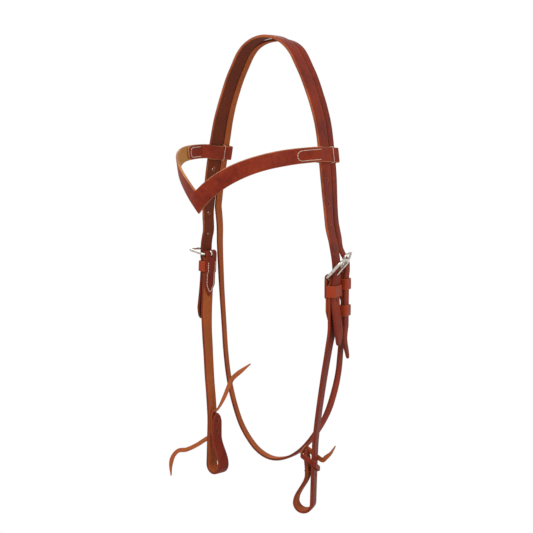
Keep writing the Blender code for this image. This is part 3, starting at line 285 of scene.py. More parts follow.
# Colours
RUSSET = (0.290, 0.034, 0.010)
BRIGHT_RUSSET = (0.290, 0.032, 0.006)
CHEEK_RUSSET = (0.225, 0.025, 0.008)
DARK_RUSSET = (0.125, 0.011, 0.004)
FLESH = (0.400, 0.100, 0.027)
CROWN_FLESH = (0.150, 0.030, 0.012)
LATCH_FLESH = (0.400, 0.100, 0.028)
PALE_FLESH = (0.600, 0.270, 0.078)
CUT_EDGE = (0.430, 0.120, 0.042)
PALE_EDGE = (0.600, 0.280, 0.120)
CHEEK_EDGE = (0.210, 0.032, 0.013)
DARK_EDGE = (0.150, 0.025, 0.012)
HOLE_WALL = (0.420, 0.150, 0.070)
THREAD_COLOUR = (0.800, 0.560, 0.440)
THREAD_DARK = (0.450, 0.270, 0.200)
NICKEL = (0.560, 0.520, 0.460)
# Dark patches mixed into the plated wire: partly tarnish, partly painted dark reflections
TARNISH_AND_PAINTED_REFLECTION = (0.100, 0.075, 0.050)

# The heights between which the rim of the crown leather turns dark
LOW_RIM_HEIGHTS = (-0.235, -0.205)

# The camera and the studio
CAMERA_AZIMUTH = 40
CAMERA_ELEVATION = 7.5
CAMERA_PLACE = Vector((0.8164, -0.9755, -0.0858))
SENSOR_WIDTH = 36
LENS = 76.83
WHITE = (1, 1, 1)
ROOM_LIGHT = (0.50, 0.50, 0.50)
FLOOR_COLOUR = (0.80, 0.80, 0.80)
FLOOR_SIZE = 6
FLOOR_ROUGHNESS = 0.9
FLOOR_HEIGHT = -0.95
LAMPS = (
    ("key_lamp", (0.2, -1.6, 1.1), (0, 0, -0.25), (1.2, 1.2), 26),
    ("fill_lamp", (1.9, -0.5, 0.1), (0, 0, -0.25), (1.0, 1.4), 10),
    ("rim_lamp", (-1.4, 1.2, 0.8), (0, 0, -0.25), (1.0, 1.0), 14),
)


def hermite(low, high, leave, arrive, t):
    """A cubic from low to high that leaves and arrives with the given steps."""
    return (
        low * (2 * t ** 3 - 3 * t ** 2 + 1) + leave * (t ** 3 - 2 * t ** 2 + t)
        + high * (3 * t ** 2 - 2 * t ** 3) + arrive * (t ** 3 - t ** 2)
    )


def smooth(rows, x):
    """Value at x of a smooth curve through rows of (x, value) or (x, value, slope)."""
    if x <= rows[0][0]:
        return rows[0][1]
    if x >= rows[-1][0]:
        return rows[-1][1]
    index = 0
    while rows[index + 1][0] < x:
        index += 1
    low, high = rows[index], rows[index + 1]
    span = high[0] - low[0]
    leave, arrive = (span * row_slope(rows, number) for number in (index, index + 1))
    return hermite(low[1], high[1], leave, arrive, (x - low[0]) / span)


def placed(columns, place):
    """A matrix with three directions for its columns, at a place."""
    matrix = Matrix.Identity(4)
    for column, direction in enumerate(columns):
        matrix.col[column][:3] = direction
    matrix.translation = place
    return matrix


def tangent_at(points, index, closed=False):
    """Direction of a run of points at one of them."""
    last = len(points) - 1
    if closed:
        return (points[(index + 1) % len(points)] - points[index - 1]).normalized()
    return (points[min(index + 1, last)] - points[max(index - 1, 0)]).normalized()


def run_lengths(points):
    """Length gone at each of a run of points."""
    lengths = [0]
    for low, high in zip(points, points[1:]):
        lengths.append(lengths[-1] + (high - low).length)
    return lengths


def row_slope(rows, index):
    """Slope of the curve at one row: the one given there, or that between its neighbours."""
    if len(rows[index]) == 3:
        return rows[index][2]
    before = rows[max(index - 1, 0)]
    after = rows[min(index + 1, len(rows) - 1)]
    return (after[1] - before[1]) / (after[0] - before[0])


def straight_rows(rows, size):
    """Rows in metres, exactly straight between the two that bound the buckles."""
    sized = [(share * HANG_DROP, value * size) for share, value in rows]
    index = [share for share, _ in rows].index(STRAIGHT_ROW_SHARE)
    low, high = sized[index], sized[index + 1]
    slope = (high[1] - low[1]) / (high[0] - low[0])
    sized[index] = (low[0], low[1], slope)
    sized[index + 1] = (high[0], high[1], slope)
    return sized


class Fold:
    """The end of a strap, folded round a buckle's heel bar and sewn, and the billet over it."""

    def __init__(self, billet_width=None, billet_thickness=None, **sizes):
        for key, value in sizes.items():
            setattr(self, key, value)
        self.billet_width = billet_width or self.width
        self.billet_thickness = billet_thickness or self.thickness
        self.main_out = self.thickness / 2 - FIT_GAP
        self.billet_out = self.wire / 2 + self.layer + 2 * FIT_GAP + self.billet_thickness / 2
        self.buckle_half = self.billet_width / 2 + self.side_play + self.wire
        self.tongue_offset = self.wire / 2 + FIT_GAP + self.tongue_wire / 2

    def tongue_height(self, tilt):
        """Height above the heel bar at which the tongue crosses the billet's middle."""
        along = (self.billet_out - self.tongue_offset * math.cos(tilt)) / math.sin(tilt)
        return along * math.cos(tilt) - self.tongue_offset * math.sin(tilt)

    def rows(self):
        """Section of the fold: (up, out, thickness share) from the inner tip."""
        share = self.layer / self.thickness
        radius = self.wire / 2 + FIT_GAP + self.layer / 2
        inner_face = self.main_out - self.thickness / 2 - FIT_GAP - self.layer / 2
        keeper_end = self.keeper_drop + self.keeper_height + FIT_GAP
        places = steps_between(self.length, keeper_end + SMALL_STEP, SMALL_STEP)
        rows = [(-place, inner_face, share) for place in places]
        lined = inner_face - KEEPER_LINING - FIT_GAP
        rows += [(-place, lined, share) for place in steps_between(keeper_end, self.wire, SMALL_STEP)]
        for angle in steps_between(-math.pi / 2, math.pi / 2, math.pi / FOLD_STEPS):
            rows.append((radius * math.cos(angle), radius * math.sin(angle), share))
        for place in steps_between(self.wire, 2 * self.keeper_drop, SMALL_STEP):
            blend = smooth(((self.wire, 0, 0), (self.keeper_drop, 1, 0)), place)
            out = radius + (self.main_out - radius) * blend
            rows.append((-place, out, share + (1 - share) * blend))
        return rows

    def width_at(self, up):
        """Width of the inner layer, which comes to a point."""
        distance = self.length + up
        if distance >= self.point:
            return self.width
        return POINT_WIDTH + (self.width - POINT_WIDTH) * distance / self.point

    def stations(self, heel, front):
        """Stations of the fold from the inner tip, in a heel bar's frame."""
        rows = self.rows()
        stations = []
        for number, (up, out_by, share) in enumerate(rows):
            width = self.width_at(up) if number < len(rows) / 2 else self.width
            stations.append((heel @ Vector((up, out_by, 0)), front, width, share))
        return stations

    def stitch_line(self):
        """Half of the V of stitching on the inner layer: points in the heel bar's frame."""
        rows = self.rows()
        leg = sorted((up, out_by) for up, out_by, _ in rows[:len(rows) // 2] if up < 0)
        line = []
        for place in steps_between(STITCH_START, self.length - STITCH_END - self.inset, SMALL_STEP):
            face = smooth(leg, -place) - self.layer / 2 - THREAD_LIFT - THREAD / 2
            line.append(Vector((-place, face, max(self.width_at(-place) / 2 - self.inset, 0))))
        return line


class Side:
    """One side of the headstall: sign is +1 on the right and -1 on the left."""

    def __init__(self, name, sign, spread_rows, toe_rows, **sizes):
        self.name = name
        self.sign = sign
        for key, value in sizes.items():
            setattr(self, key, value)
        arch = [(poll_end_drop(), POLL_RADIUS * math.sin(POLL_ANGLE), 1 / math.tan(POLL_ANGLE))]
        self.spread_rows = arch + straight_rows(spread_rows, HALF_SPREAD)
        self.lean_rows = straight_rows(lean_shares, FORWARD_LEAN)
        self.toe_rows = straight_rows(toe_rows, TOE)
        self.heel_drop = self.hole_drop + cheek.tongue_height(self.tilt)

    def centre(self, drop):
        spread = smooth(self.spread_rows, drop)
        lean = smooth(self.lean_rows, drop)
        return Vector((self.sign * spread, -lean, -drop))

    def frame(self, drop):
        """Point on the line and the directions down, out and forwards there."""
        step = SMALL_STEP / 8
        down = (self.centre(drop + step) - self.centre(drop - step)).normalized()
        toe = smooth(self.toe_rows, drop)
        front = Vector((self.sign * math.sin(toe), -math.cos(toe), 0))
        front = (front - down * front.dot(down)).normalized()
        out = self.sign * front.cross(down)
        return self.centre(drop), down, out, front

    def place(self, drop, out_by=0, front_by=0):
        point, _, out, front = self.frame(drop)
        return point + out * out_by + front * front_by

    def heel_frame(self, drop):
        """Matrix whose X is up the strap, Y outwards and Z along a heel bar."""
        point, down, out, _ = self.frame(drop)
        return placed((-down, out, out.cross(down)), point)


def poll_end_drop():
    return POLL_RADIUS * (1 - math.cos(POLL_ANGLE)) - CROWN_THICKNESS / 2


def steps_between(start, end, step):
    """Even places from start to end, about a step apart."""
    count = max(1, round(abs(end - start) / step))
    return [start + (end - start) * index / count for index in range(count + 1)]


def stops(start, *legs):
    """Places from a start on through legs of (end, step)."""
    places = [start]
    for end, step in legs:
        places += steps_between(places[-1], end, step)[1:]
    return places


def spline(points, steps):
    """Points of a smooth curve through the given ones, with some steps between each two."""
    ends = [2 * points[0] - points[1]] + list(points) + [2 * points[-1] - points[-2]]
    curve = []
    for index in range(1, len(ends) - 2):
        before, low, high, after = ends[index - 1:index + 3]
        span = (high - low).length
        leave = (high - before) * (span / (span + (low - before).length))
        arrive = (after - low) * (span / (span + (after - high).length))
        curve += [hermite(low, high, leave, arrive, step / steps) for step in range(steps)]
    curve.append(points[-1])
    return curve


def crown_out(side, drop):
    """How far the crown strap lies outside its line: over the heel bar, then on the cheekpiece."""
    lying = cheek.main_out + cheek.thickness / 2 + FIT_GAP + CROWN_THICKNESS / 2
    heel = side.heel_drop
    rows = (
        (heel - side.bow_run, 0, 0),
        (heel - cheek.keeper_drop, cheek.billet_out, 0),
        (heel + cheek.wire, cheek.billet_out, 0),
        (heel + cheek.keeper_drop, lying, 0),
        (heel + cheek.keeper_drop + cheek.keeper_height, lying, 0),
        (heel + side.tip_length, lying + side.tip_flare),
    )
    return smooth(rows, drop)


def crown_width(drop):
    rows = ((BROW_DROP + BROW_END_WIDTH, CROWN_WIDTH, 0), (BILLET_DROP, BILLET_WIDTH, 0))
    return smooth(rows, drop)


def tip_width(width, distance, end_width=TIP_WIDTH):
    """Width of a billet at a distance from its pointed end."""
    if distance >= TIP_TAPER:
        return width
    return end_width + (width - end_width) * math.sqrt(distance / TIP_TAPER)


def crown_side_stations(side):
    """Stations of the crown strap from the end of the poll bend to the billet's tip."""
    tip = side.heel_drop + side.tip_length
    legs = (
        (side.heel_drop - 2 * cheek.buckle_length, LONG_STEP),
        (side.heel_drop + cheek.keeper_drop, SMALL_STEP),
        (tip - TIP_TAPER, LONG_STEP),
        (tip, SMALL_STEP),
    )
    stations = []
    for drop in stops(poll_end_drop(), *legs)[1:]:
        width = tip_width(crown_width(drop), tip - drop)
        middle = side.place(drop, crown_out(side, drop))
        stations.append((middle, side.frame(drop)[3], width, 1))
    return stations


def poll_stations(front_by, sag, width):
    """Stations over the poll, from left to right."""
    stations = []
    across = Vector((0, -1, 0))
    for angle in steps_between(-POLL_ANGLE, POLL_ANGLE, 2 * POLL_ANGLE / POLL_STEPS):
        radius = POLL_RADIUS - sag * math.cos(math.pi * angle / (2 * POLL_ANGLE)) ** 2
        height = radius * math.cos(angle) - POLL_RADIUS + CROWN_THICKNESS / 2
        middle = Vector((radius * math.sin(angle), -front_by, height))
        stations.append((middle, across, width, 1))
    return stations


def loop_rows(side):
    """Section of a bit end: (up from its bottom, out, thickness share), down, then up again."""
    half = side.loop_gap / 2 + cheek.thickness / 2
    outer = cheek.main_out
    closed = outer - cheek.thickness - LACE_SPACE
    middle = outer - half
    rows = [(place, outer, 1) for place in steps_between(BIT_LOOP_HEIGHT, 1.5 * half, 2 * SMALL_STEP)]
    for angle in steps_between(0, math.pi, math.pi / (FOLD_STEPS + 1)):
        rise = half * (1 - math.sin(angle)) + cheek.thickness / 2
        rows.append((rise, middle + half * math.cos(angle), 1))
    curve = (
        (half + cheek.thickness / 2, outer - 2 * half, 0), (BIT_LOOP_HEIGHT, closed, 0),
        (BIT_LEG_LENGTH, closed - side.leg_lean, -side.leg_lean / LACE_HOLE_PITCH / 2),
    )
    legs = (
        (BIT_LEG_LENGTH - LEG_END_ROUND, 1.4 * SMALL_STEP), (BIT_LEG_LENGTH, LEG_END_ROUND / 3),
    )
    return rows + [(place, smooth(curve, place), 1) for place in stops(1.6 * half, *legs)]


def leg_out(side, up):
    """Middle of the folded-up leg of a bit end, at a height above the end's bottom."""
    rows = loop_rows(side)
    leg = [(place, out_by) for place, out_by, _ in rows[len(rows) // 2:]]
    return smooth(leg, up)


def leg_width(up):
    """Width of the folded-up leg, whose end is rounded."""
    from_end = min(1, (BIT_LEG_LENGTH - up) / LEG_END_ROUND)
    return cheek.width * (TIP_WIDTH / cheek.width + (1 - TIP_WIDTH / cheek.width) * math.sqrt(from_end))


def bit_frame(side, up, out_by=0):
    """Right-handed matrix at a height above a bit end's bottom: X is outwards and Z up.

    Y is then forwards on the left side and backwards on the right side.
    """
    point, down, out, front = side.frame(side.bottom - up)
    return placed((out, -side.sign * front, -down), point + out * out_by)


def latch_base(drop):
    """How far the throat latch's line on the right lies outside the side's line."""
    heel = LATCH_HEEL_DROP
    rows = ((heel - LATCH_HEEL_RUN, 0, 0), (heel - 2 * latch.wire, LATCH_HEEL_OUT, 0))
    return smooth(rows, drop)


def latch_out(drop):
    """How far the throat latch's right end and billet lie outside the side's line."""
    lying = latch.main_out + latch.thickness + FIT_GAP
    heel = LATCH_HEEL_DROP
    rows = (
        (heel - 1.3 * latch.buckle_length, 0, 0),
        (heel - 2 * latch.wire, latch.billet_out, 0),
        (heel + latch.wire, latch.billet_out, 0),
        (heel + latch.keeper_drop - latch.wire, lying, 0),
        (heel + 2 * LATCH_SLIDING_KEEPER_DROP - latch.keeper_height, lying, 0),
        (heel + LATCH_TIP_LENGTH, lying + LATCH_TIP_FLARE),
    )
    return latch_base(drop) + smooth(rows, drop)


def latch_front(drop):
    """Where the throat latch lies behind the crown strap: close at first, then clear."""
    close = -(CROWN_WIDTH / 2 + STRAP_GAP + latch.width / 2)
    clear = -(cheek.buckle_half + FIT_GAP + latch.buckle_half)
    rows = ((LATCH_FREE_DROP, close, 0), (LATCH_HEEL_DROP - latch.buckle_length, clear, 0))
    return smooth(rows, drop)


def latch_heel():
    """Frame of the throat latch buckle's heel bar."""
    frame = right.heel_frame(LATCH_HEEL_DROP)
    drop = LATCH_HEEL_DROP
    frame.translation = right.place(drop, latch_base(drop), latch_front(drop))
    return frame


def across_path(points, across_at_start, across_at_end):
    """Directions across the hanging throat latch, from one end to the other."""
    directions = []
    for index in range(len(points)):
        share = index / (len(points) - 1)
        near_end = smooth(latch_end_rows, share)
        end_across = across_at_start if share < 0.5 else across_at_end
        yaw = smooth(latch_yaw_rows, share)
        across_between = Vector((math.sin(yaw), -math.cos(yaw), 0))
        wanted = end_across * near_end + across_between * (1 - near_end)
        tangent = tangent_at(points, index)
        directions.append((wanted - tangent * wanted.dot(tangent)).normalized())
    return directions


def brow_curve():
    """The four handles of the right half of the browband, from its middle to the strap."""
    front = right.frame(BROW_DROP)[3]
    end = right.place(BROW_DROP, BROW_MIDDLE_OUT, CROWN_WIDTH / 2 + BROW_END_GAP)
    start = Vector((0, -BROW_REACH, -BROW_MIDDLE_DROP))
    pull = Vector((BROW_FRONT_PULL, 0, BROW_FRONT_RISE))
    return start, start + pull, end + front * BROW_SIDE_PULL - Vector((0, 0, BROW_SIDE_DIP)), end


def brow_point(share):
    """Point on the browband's middle line, and the direction of the line there."""
    start, first, second, end = brow_curve()
    rest = 1 - share
    point = (
        start * rest ** 3 + first * (3 * rest ** 2 * share)
        + second * (3 * rest * share ** 2) + end * share ** 3
    )
    along = (
        (first - start) * rest ** 2 + (second - first) * (2 * rest * share)
        + (end - second) * share ** 2
    )
    return point, along.normalized()


def brow_station(share):
    """Middle, outward face direction and direction up across the band, at a share of it."""
    point, along = brow_point(share)
    flat = Vector((along.y, -along.x, 0)).normalized()
    tilt = BROW_TILT * (1 - share)
    wanted = Vector((0, 0, math.cos(tilt))) + flat * math.sin(tilt)
    square = (wanted - along * wanted.dot(along)).normalized()
    full = wanted / square.dot(wanted)
    mitre = max(0, 1 - (point - brow_point(0)[0]).length / BROW_MITRE)
    across = square.lerp(full, mitre)
    return point, along.cross(square).normalized(), across


def brow_share(distance):
    """Share of the browband's half at a distance along it from the strap."""
    share = 1
    point = brow_point(share)[0]
    gone = 0
    while gone < distance:
        share -= BROW_SEARCH_SHARE
        onward = brow_point(share)[0]
        gone += (onward - point).length
        point = onward
    return share


def brow_place(distance, out_by, up_by=0):
    """Point on the right end of the browband, by its distance from the strap."""
    point, out, across = brow_station(brow_share(distance))
    return point + out * out_by + across * up_by


def on_side(vector, sign):
    return Vector((sign * vector.x, vector.y, vector.z))


def scaled(shares, size):
    return Vector([share * size for share in shares])


def body_of(node):
    """The body that carries a node."""
    groups = frame["record"]["behaviour"]["bodies"]
    return [body for body, members in groups.items() if node in members][0]


def stand_in(piece, node):
    """Let a piece stand for a node and ride on the node's body."""
    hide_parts(node)
    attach(piece, body_of(node))


def dress(piece, node, material):
    """Give a piece its material, and let it stand for a node."""
    piece.data.materials.append(material)
    stand_in(piece, node)


def new_piece(name, data):
    piece = bpy.data.objects.new(name, data)
    bpy.context.scene.collection.objects.link(piece)
    return piece


def finished(work, name):
    """A piece from the faces worked on."""
    mesh = bpy.data.meshes.new(name)
    work.to_mesh(mesh)
    work.free()
    return new_piece(name, mesh)


def strap_outline(width, thickness, edge, sag):
    """Points round a strap: (across, out, grain share, edge share), from the rear of the grain face."""
    half, high = width / 2, thickness / 2
    turn = min(edge, high * EDGE_LIMIT, half * EDGE_LIMIT)
    flat = half - turn
    rows = []
    for sign in (1, -1):
        for number in range(FACE_COLUMNS + 1):
            rows.append((sign * flat * (2 * number / FACE_COLUMNS - 1), sign * high, (1 + sign) / 2, 0))
        for angle, grain, rim in EDGE_ROWS:
            rise = turn * math.sin(math.radians(angle))
            side = high - turn if rise > 0 else turn - high
            out_by = flat + turn * math.cos(math.radians(angle))
            rows.append((sign * out_by, sign * (side + rise), grain if sign > 0 else 1 - grain, rim))
    return [(x, y - sag * (x / half) ** 2 * (1 if y > 0 else -1), g, e) for x, y, g, e in rows]


def skin(work, uv, rings, closing, order, caps_turned):
    """Faces between rings of (vertices, length along), capped unless a closing length is given."""
    pairs = list(zip(rings, rings[1:]))
    if closing is not None:
        pairs.append((rings[-1], (rings[0][0], closing)))
    for (low, low_length), (high, high_length) in pairs:
        for step in range(len(low)):
            after = (step + 1) % len(low)
            corners = (low[step], high[step], high[after], low[after])
            polygon = work.faces.new([corners[number] for number in order])
            polygon.smooth = True
            for loop in polygon.loops:
                length = low_length if loop.vert in (low[step], low[after]) else high_length
                girth = step if loop.vert in (low[step], high[step]) else step + 1
                loop[uv].uv = (length, girth * GIRTH_STEP)
    if closing is None:
        for ring, turned in ((rings[0][0], caps_turned), (rings[-1][0], not caps_turned)):
            work.faces.new(ring[::-1] if turned else ring).smooth = True
    bmesh.ops.recalc_face_normals(work, faces=work.faces)


def sweep(name, stations, thickness, face=1, edge=STRAP_EDGE, sag=STRAP_SAG, closed=False):
    """A strap with domed faces and rounded edges through (middle, across, width, thickness share)."""
    work = bmesh.new()
    uv = work.loops.layers.uv.new("length_and_girth")
    layer = work.verts.layers.float_color.new("layer")
    count = len(stations)
    middles = [station[0] for station in stations]
    lengths = run_lengths(middles + middles[:1])
    rings = []
    for index, (middle, across, width, share) in enumerate(stations):
        tangent = tangent_at(middles, index, closed)
        out = across.cross(tangent).normalized() * face
        wander = noise.noise(middle * WANDER_PITCH) * WANDER
        trims = [(0, 0)]
        if not closed and index in (0, count - 1):
            way = -1 if index == 0 else 1
            trims = [(way * edge * math.sin(a), edge * (1 - math.cos(a))) for a in END_ANGLES][::way]
        for along, trim in trims:
            ring = []
            outline = strap_outline(width + wander - 2 * trim, thickness * share - 2 * trim, edge, sag)
            for x, y, grain, rim in outline:
                vert = work.verts.new(middle + tangent * along + across * x + out * y)
                vert[layer] = (grain, max(rim, END_RIM if trim else 0), share, 1)
                ring.append(vert)
            rings.append((ring, lengths[index] + along))
    closing = lengths[-1] if closed else None
    skin(work, uv, rings, closing, (0, 1, 2, 3) if face > 0 else (3, 2, 1, 0), face < 0)
    return finished(work, name)


def lathe_cutter(point, direction, radius, depth, rim=0, rim_at=0):
    """A round cutter along a direction, opened at both faces of a strap where a rim is given."""
    rows = [(-depth / 2, radius), (depth / 2, radius)]
    if rim:
        rows = [
            (-depth / 2, radius + rim), (-rim_at, radius + rim), (rim - rim_at, radius),
            (rim_at - rim, radius), (rim_at, radius + rim), (depth / 2, radius + rim),
        ]
    work = bmesh.new()
    rings = []
    for height, size in rows:
        ring = []
        for step in range(HOLE_SIDES):
            angle = 2 * math.pi * step / HOLE_SIDES
            ring.append(work.verts.new((size * math.cos(angle), size * math.sin(angle), height)))
        rings.append(ring)
    for low, high in zip(rings, rings[1:]):
        for step in range(HOLE_SIDES):
            after = (step + 1) % HOLE_SIDES
            work.faces.new((low[step], low[after], high[after], high[step])).smooth = True
    work.faces.new(list(reversed(rings[0])))
    work.faces.new(rings[-1])
    cutter = finished(work, "cutter")
    turn = direction.to_track_quat("Z", "Y").to_matrix().to_4x4()
    cutter.matrix_world = Matrix.Translation(point) @ turn
    return cutter


def box_cut(place, sizes):
    work = bmesh.new()
    bmesh.ops.create_cube(work, size=1)
    bmesh.ops.scale(work, vec=sizes, verts=work.verts)
    upright = [e for e in work.edges if abs((e.verts[0].co - e.verts[1].co).normalized().y) > SLOT_UPRIGHT]
    if sizes[1] > sizes[0] * SLOT_UPRIGHT and sizes[1] > sizes[2]:
        offset = min(sizes) * SLOT_ROUND
        bmesh.ops.bevel(work, geom=upright, offset=offset, segments=SLOT_ROUND_STEPS, affect="EDGES")
    cutter = finished(work, "cutter")
    cutter.matrix_world = place
    return cutter


def punch(piece, cutters, material):
    """Cut holes out of a piece for good, their walls in the material of cut leather."""
    holder = bpy.data.collections.new("punches")
    bpy.context.scene.collection.children.link(holder)
    for cutter in cutters:
        cutter.data.materials.append(material)
        holder.objects.link(cutter)
    boolean = piece.modifiers.new("Holes", "BOOLEAN")
    boolean.operation = "DIFFERENCE"
    boolean.operand_type = "COLLECTION"
    boolean.collection = holder
    boolean.solver = "EXACT"
    boolean.material_mode = "TRANSFER"
    bpy.context.view_layer.update()
    depsgraph = bpy.context.evaluated_depsgraph_get()
    mesh = bpy.data.meshes.new_from_object(piece.evaluated_get(depsgraph))
    piece.modifiers.clear()
    old = piece.data
    piece.data = mesh
    bpy.data.meshes.remove(old)
    for cutter in cutters:
        bpy.data.meshes.remove(cutter.data)
    bpy.data.collections.remove(holder)


def tube(name, points, radii, closed=False):
    """A round bar through points with a radius at each, closed by rounded ends unless a ring."""
    work = bmesh.new()
    uv = work.loops.layers.uv.new("length_and_girth")
    count = len(points)
    rings = []
    lengths = run_lengths(points + points[:1])
    normal = TUBE_START
    for index, point in enumerate(points):
        tangent = tangent_at(points, index, closed)
        normal = (normal - tangent * normal.dot(tangent)).normalized()
        side = tangent.cross(normal)
        trims = [(0, 1)]
        if not closed and index in (0, count - 1):
            way = -1 if index == 0 else 1
            trims = [(way * radii[index] * math.sin(a), math.cos(a)) for a in TUBE_END_ANGLES][::way]
        for along, shrink in trims:
            ring = []
            for step in range(TUBE_SIDES):
                angle = 2 * math.pi * step / TUBE_SIDES
                offset = normal * math.cos(angle) + side * math.sin(angle)
                ring.append(work.verts.new(point + tangent * along + offset * (radii[index] * shrink)))
            rings.append((ring, lengths[index] + along))
    closing = lengths[-1] if closed else None
    skin(work, uv, rings, closing, (0, 3, 2, 1), True)
    return finished(work, name)


def join(name, pieces):
    """One piece out of several, in the place of the first."""
    work = bmesh.new()
    for piece in pieces:
        work.from_mesh(piece.data)
        bpy.data.meshes.remove(piece.data)
    return finished(work, name)


def stitches(name, line):
    """Stitches of thread through (point, face direction), each from one needle hole to the next."""
    pieces = []
    for (low, low_out), (high, high_out) in zip(line, line[1:]):
        out = (low_out + high_out).normalized()
        gap = high - low
        slant = out.cross(gap).normalized() * (THREAD_SIZE * STITCH_SLANT)
        points = []
        radii = []
        for step in range(STITCH_RINGS + 1):
            share = step / STITCH_RINGS
            place = STITCH_CLEAR + (1 - 2 * STITCH_CLEAR) * share
            rise = THREAD_SIZE * (STITCH_RISE * math.sin(math.pi * share) ** RISE_POWER - STITCH_SINK)
            points.append(low + gap * place + out * rise + slant * (share - 0.5))
            pinch = THREAD_PINCH + (1 - THREAD_PINCH) * math.sqrt(math.sin(math.pi * share))
            radii.append(THREAD_SIZE / 2 * pinch)
        pieces.append(tube(name, points, radii))
    return join(name, pieces)


def even_places(line, pitch):
    """(point, direction) pairs about a pitch apart along a line of such pairs."""
    lengths = run_lengths([point for point, _ in line])
    count = max(1, round(lengths[-1] / pitch))
    places = []
    index = 0
    for number in range(count + 1):
        wanted = lengths[-1] * number / count
        while index < len(line) - 2 and lengths[index + 1] < wanted:
            index += 1
        share = (wanted - lengths[index]) / (lengths[index + 1] - lengths[index])
        low, high = line[index], line[index + 1]
        places.append((low[0].lerp(high[0], share), low[1].lerp(high[1], share).normalized()))
    return places


class Nodes:
    """Builds the nodes of a material or of the world with short calls."""

    def __init__(self, holder, shader="Principled BSDF"):
        holder.use_nodes = True
        self.holder = holder
        self.tree = holder.node_tree
        self.shader = self.tree.nodes[shader]

    def add(self, kind, values=None, **links):
        node = self.tree.nodes.new("ShaderNode" + kind)
        for key, value in (values or {}).items():
            if hasattr(node, key) and key not in node.inputs:
                setattr(node, key, value)
            else:
                node.inputs[key].default_value = value
        for key, source in links.items():
            self.link(source, node.inputs[key.replace("_", " ")])
        return node

    def link(self, source, target):
        self.tree.links.new(source, target)

    def noise(self, place, scale, detail, roughness, stretch=None):
        if stretch:
            place = self.add("Mapping", {"Scale": stretch}, Vector=place).outputs["Vector"]
        values = {"Scale": scale, "Detail": detail, "Roughness": roughness}
        return self.add("TexNoise", values, Vector=place).outputs["Fac"]

    def remap(self, source, low, high, to_low=0, to_high=1):
        values = {"From Min": low, "From Max": high, "To Min": to_low, "To Max": to_high, "clamp": True}
        return self.add("MapRange", values, Value=source).outputs["Result"]

    def feed(self, node, *pairs):
        """Give sockets of a node their numbers, colours or links."""
        for value, socket in pairs:
            if isinstance(value, (int, float)):
                node.inputs[socket].default_value = value
            elif isinstance(value, tuple):
                node.inputs[socket].default_value = (*value, 1)
            else:
                self.link(value, node.inputs[socket])
        return node.outputs

    def mix(self, share, first, second):
        node = self.add("Mix", {"data_type": "RGBA"})
        return self.feed(node, (share, 0), (first, 6), (second, 7))[2]

    def math(self, operation, first, second):
        node = self.add("Math", {"operation": operation})
        return self.feed(node, (first, 0), (second, 1))[0]

    def seen(self):
        """One for the rays of the camera, of mirrors and of glass, and nothing for those that light."""
        path = self.add("LightPath").outputs
        either = self.math("MAXIMUM", path["Is Camera Ray"], path["Is Glossy Ray"])
        return self.math("MAXIMUM", either, path["Is Transmission Ray"])

    def bump(self, height, distance, strength, normal=None):
        node = self.add("Bump", {"Distance": distance, "Strength": strength}, Height=height)
        if normal:
            self.link(normal, node.inputs["Normal"])
        return node.outputs["Normal"]

    def finish(self, colour, roughness, normal=None, **fixed):
        self.feed(self.shader, (colour, "Base Color"), (roughness, "Roughness"))
        if normal:
            self.link(normal, self.shader.inputs["Normal"])
        for key, value in fixed.items():
            self.shader.inputs[key.replace("_", " ")].default_value = value
        return self.holder


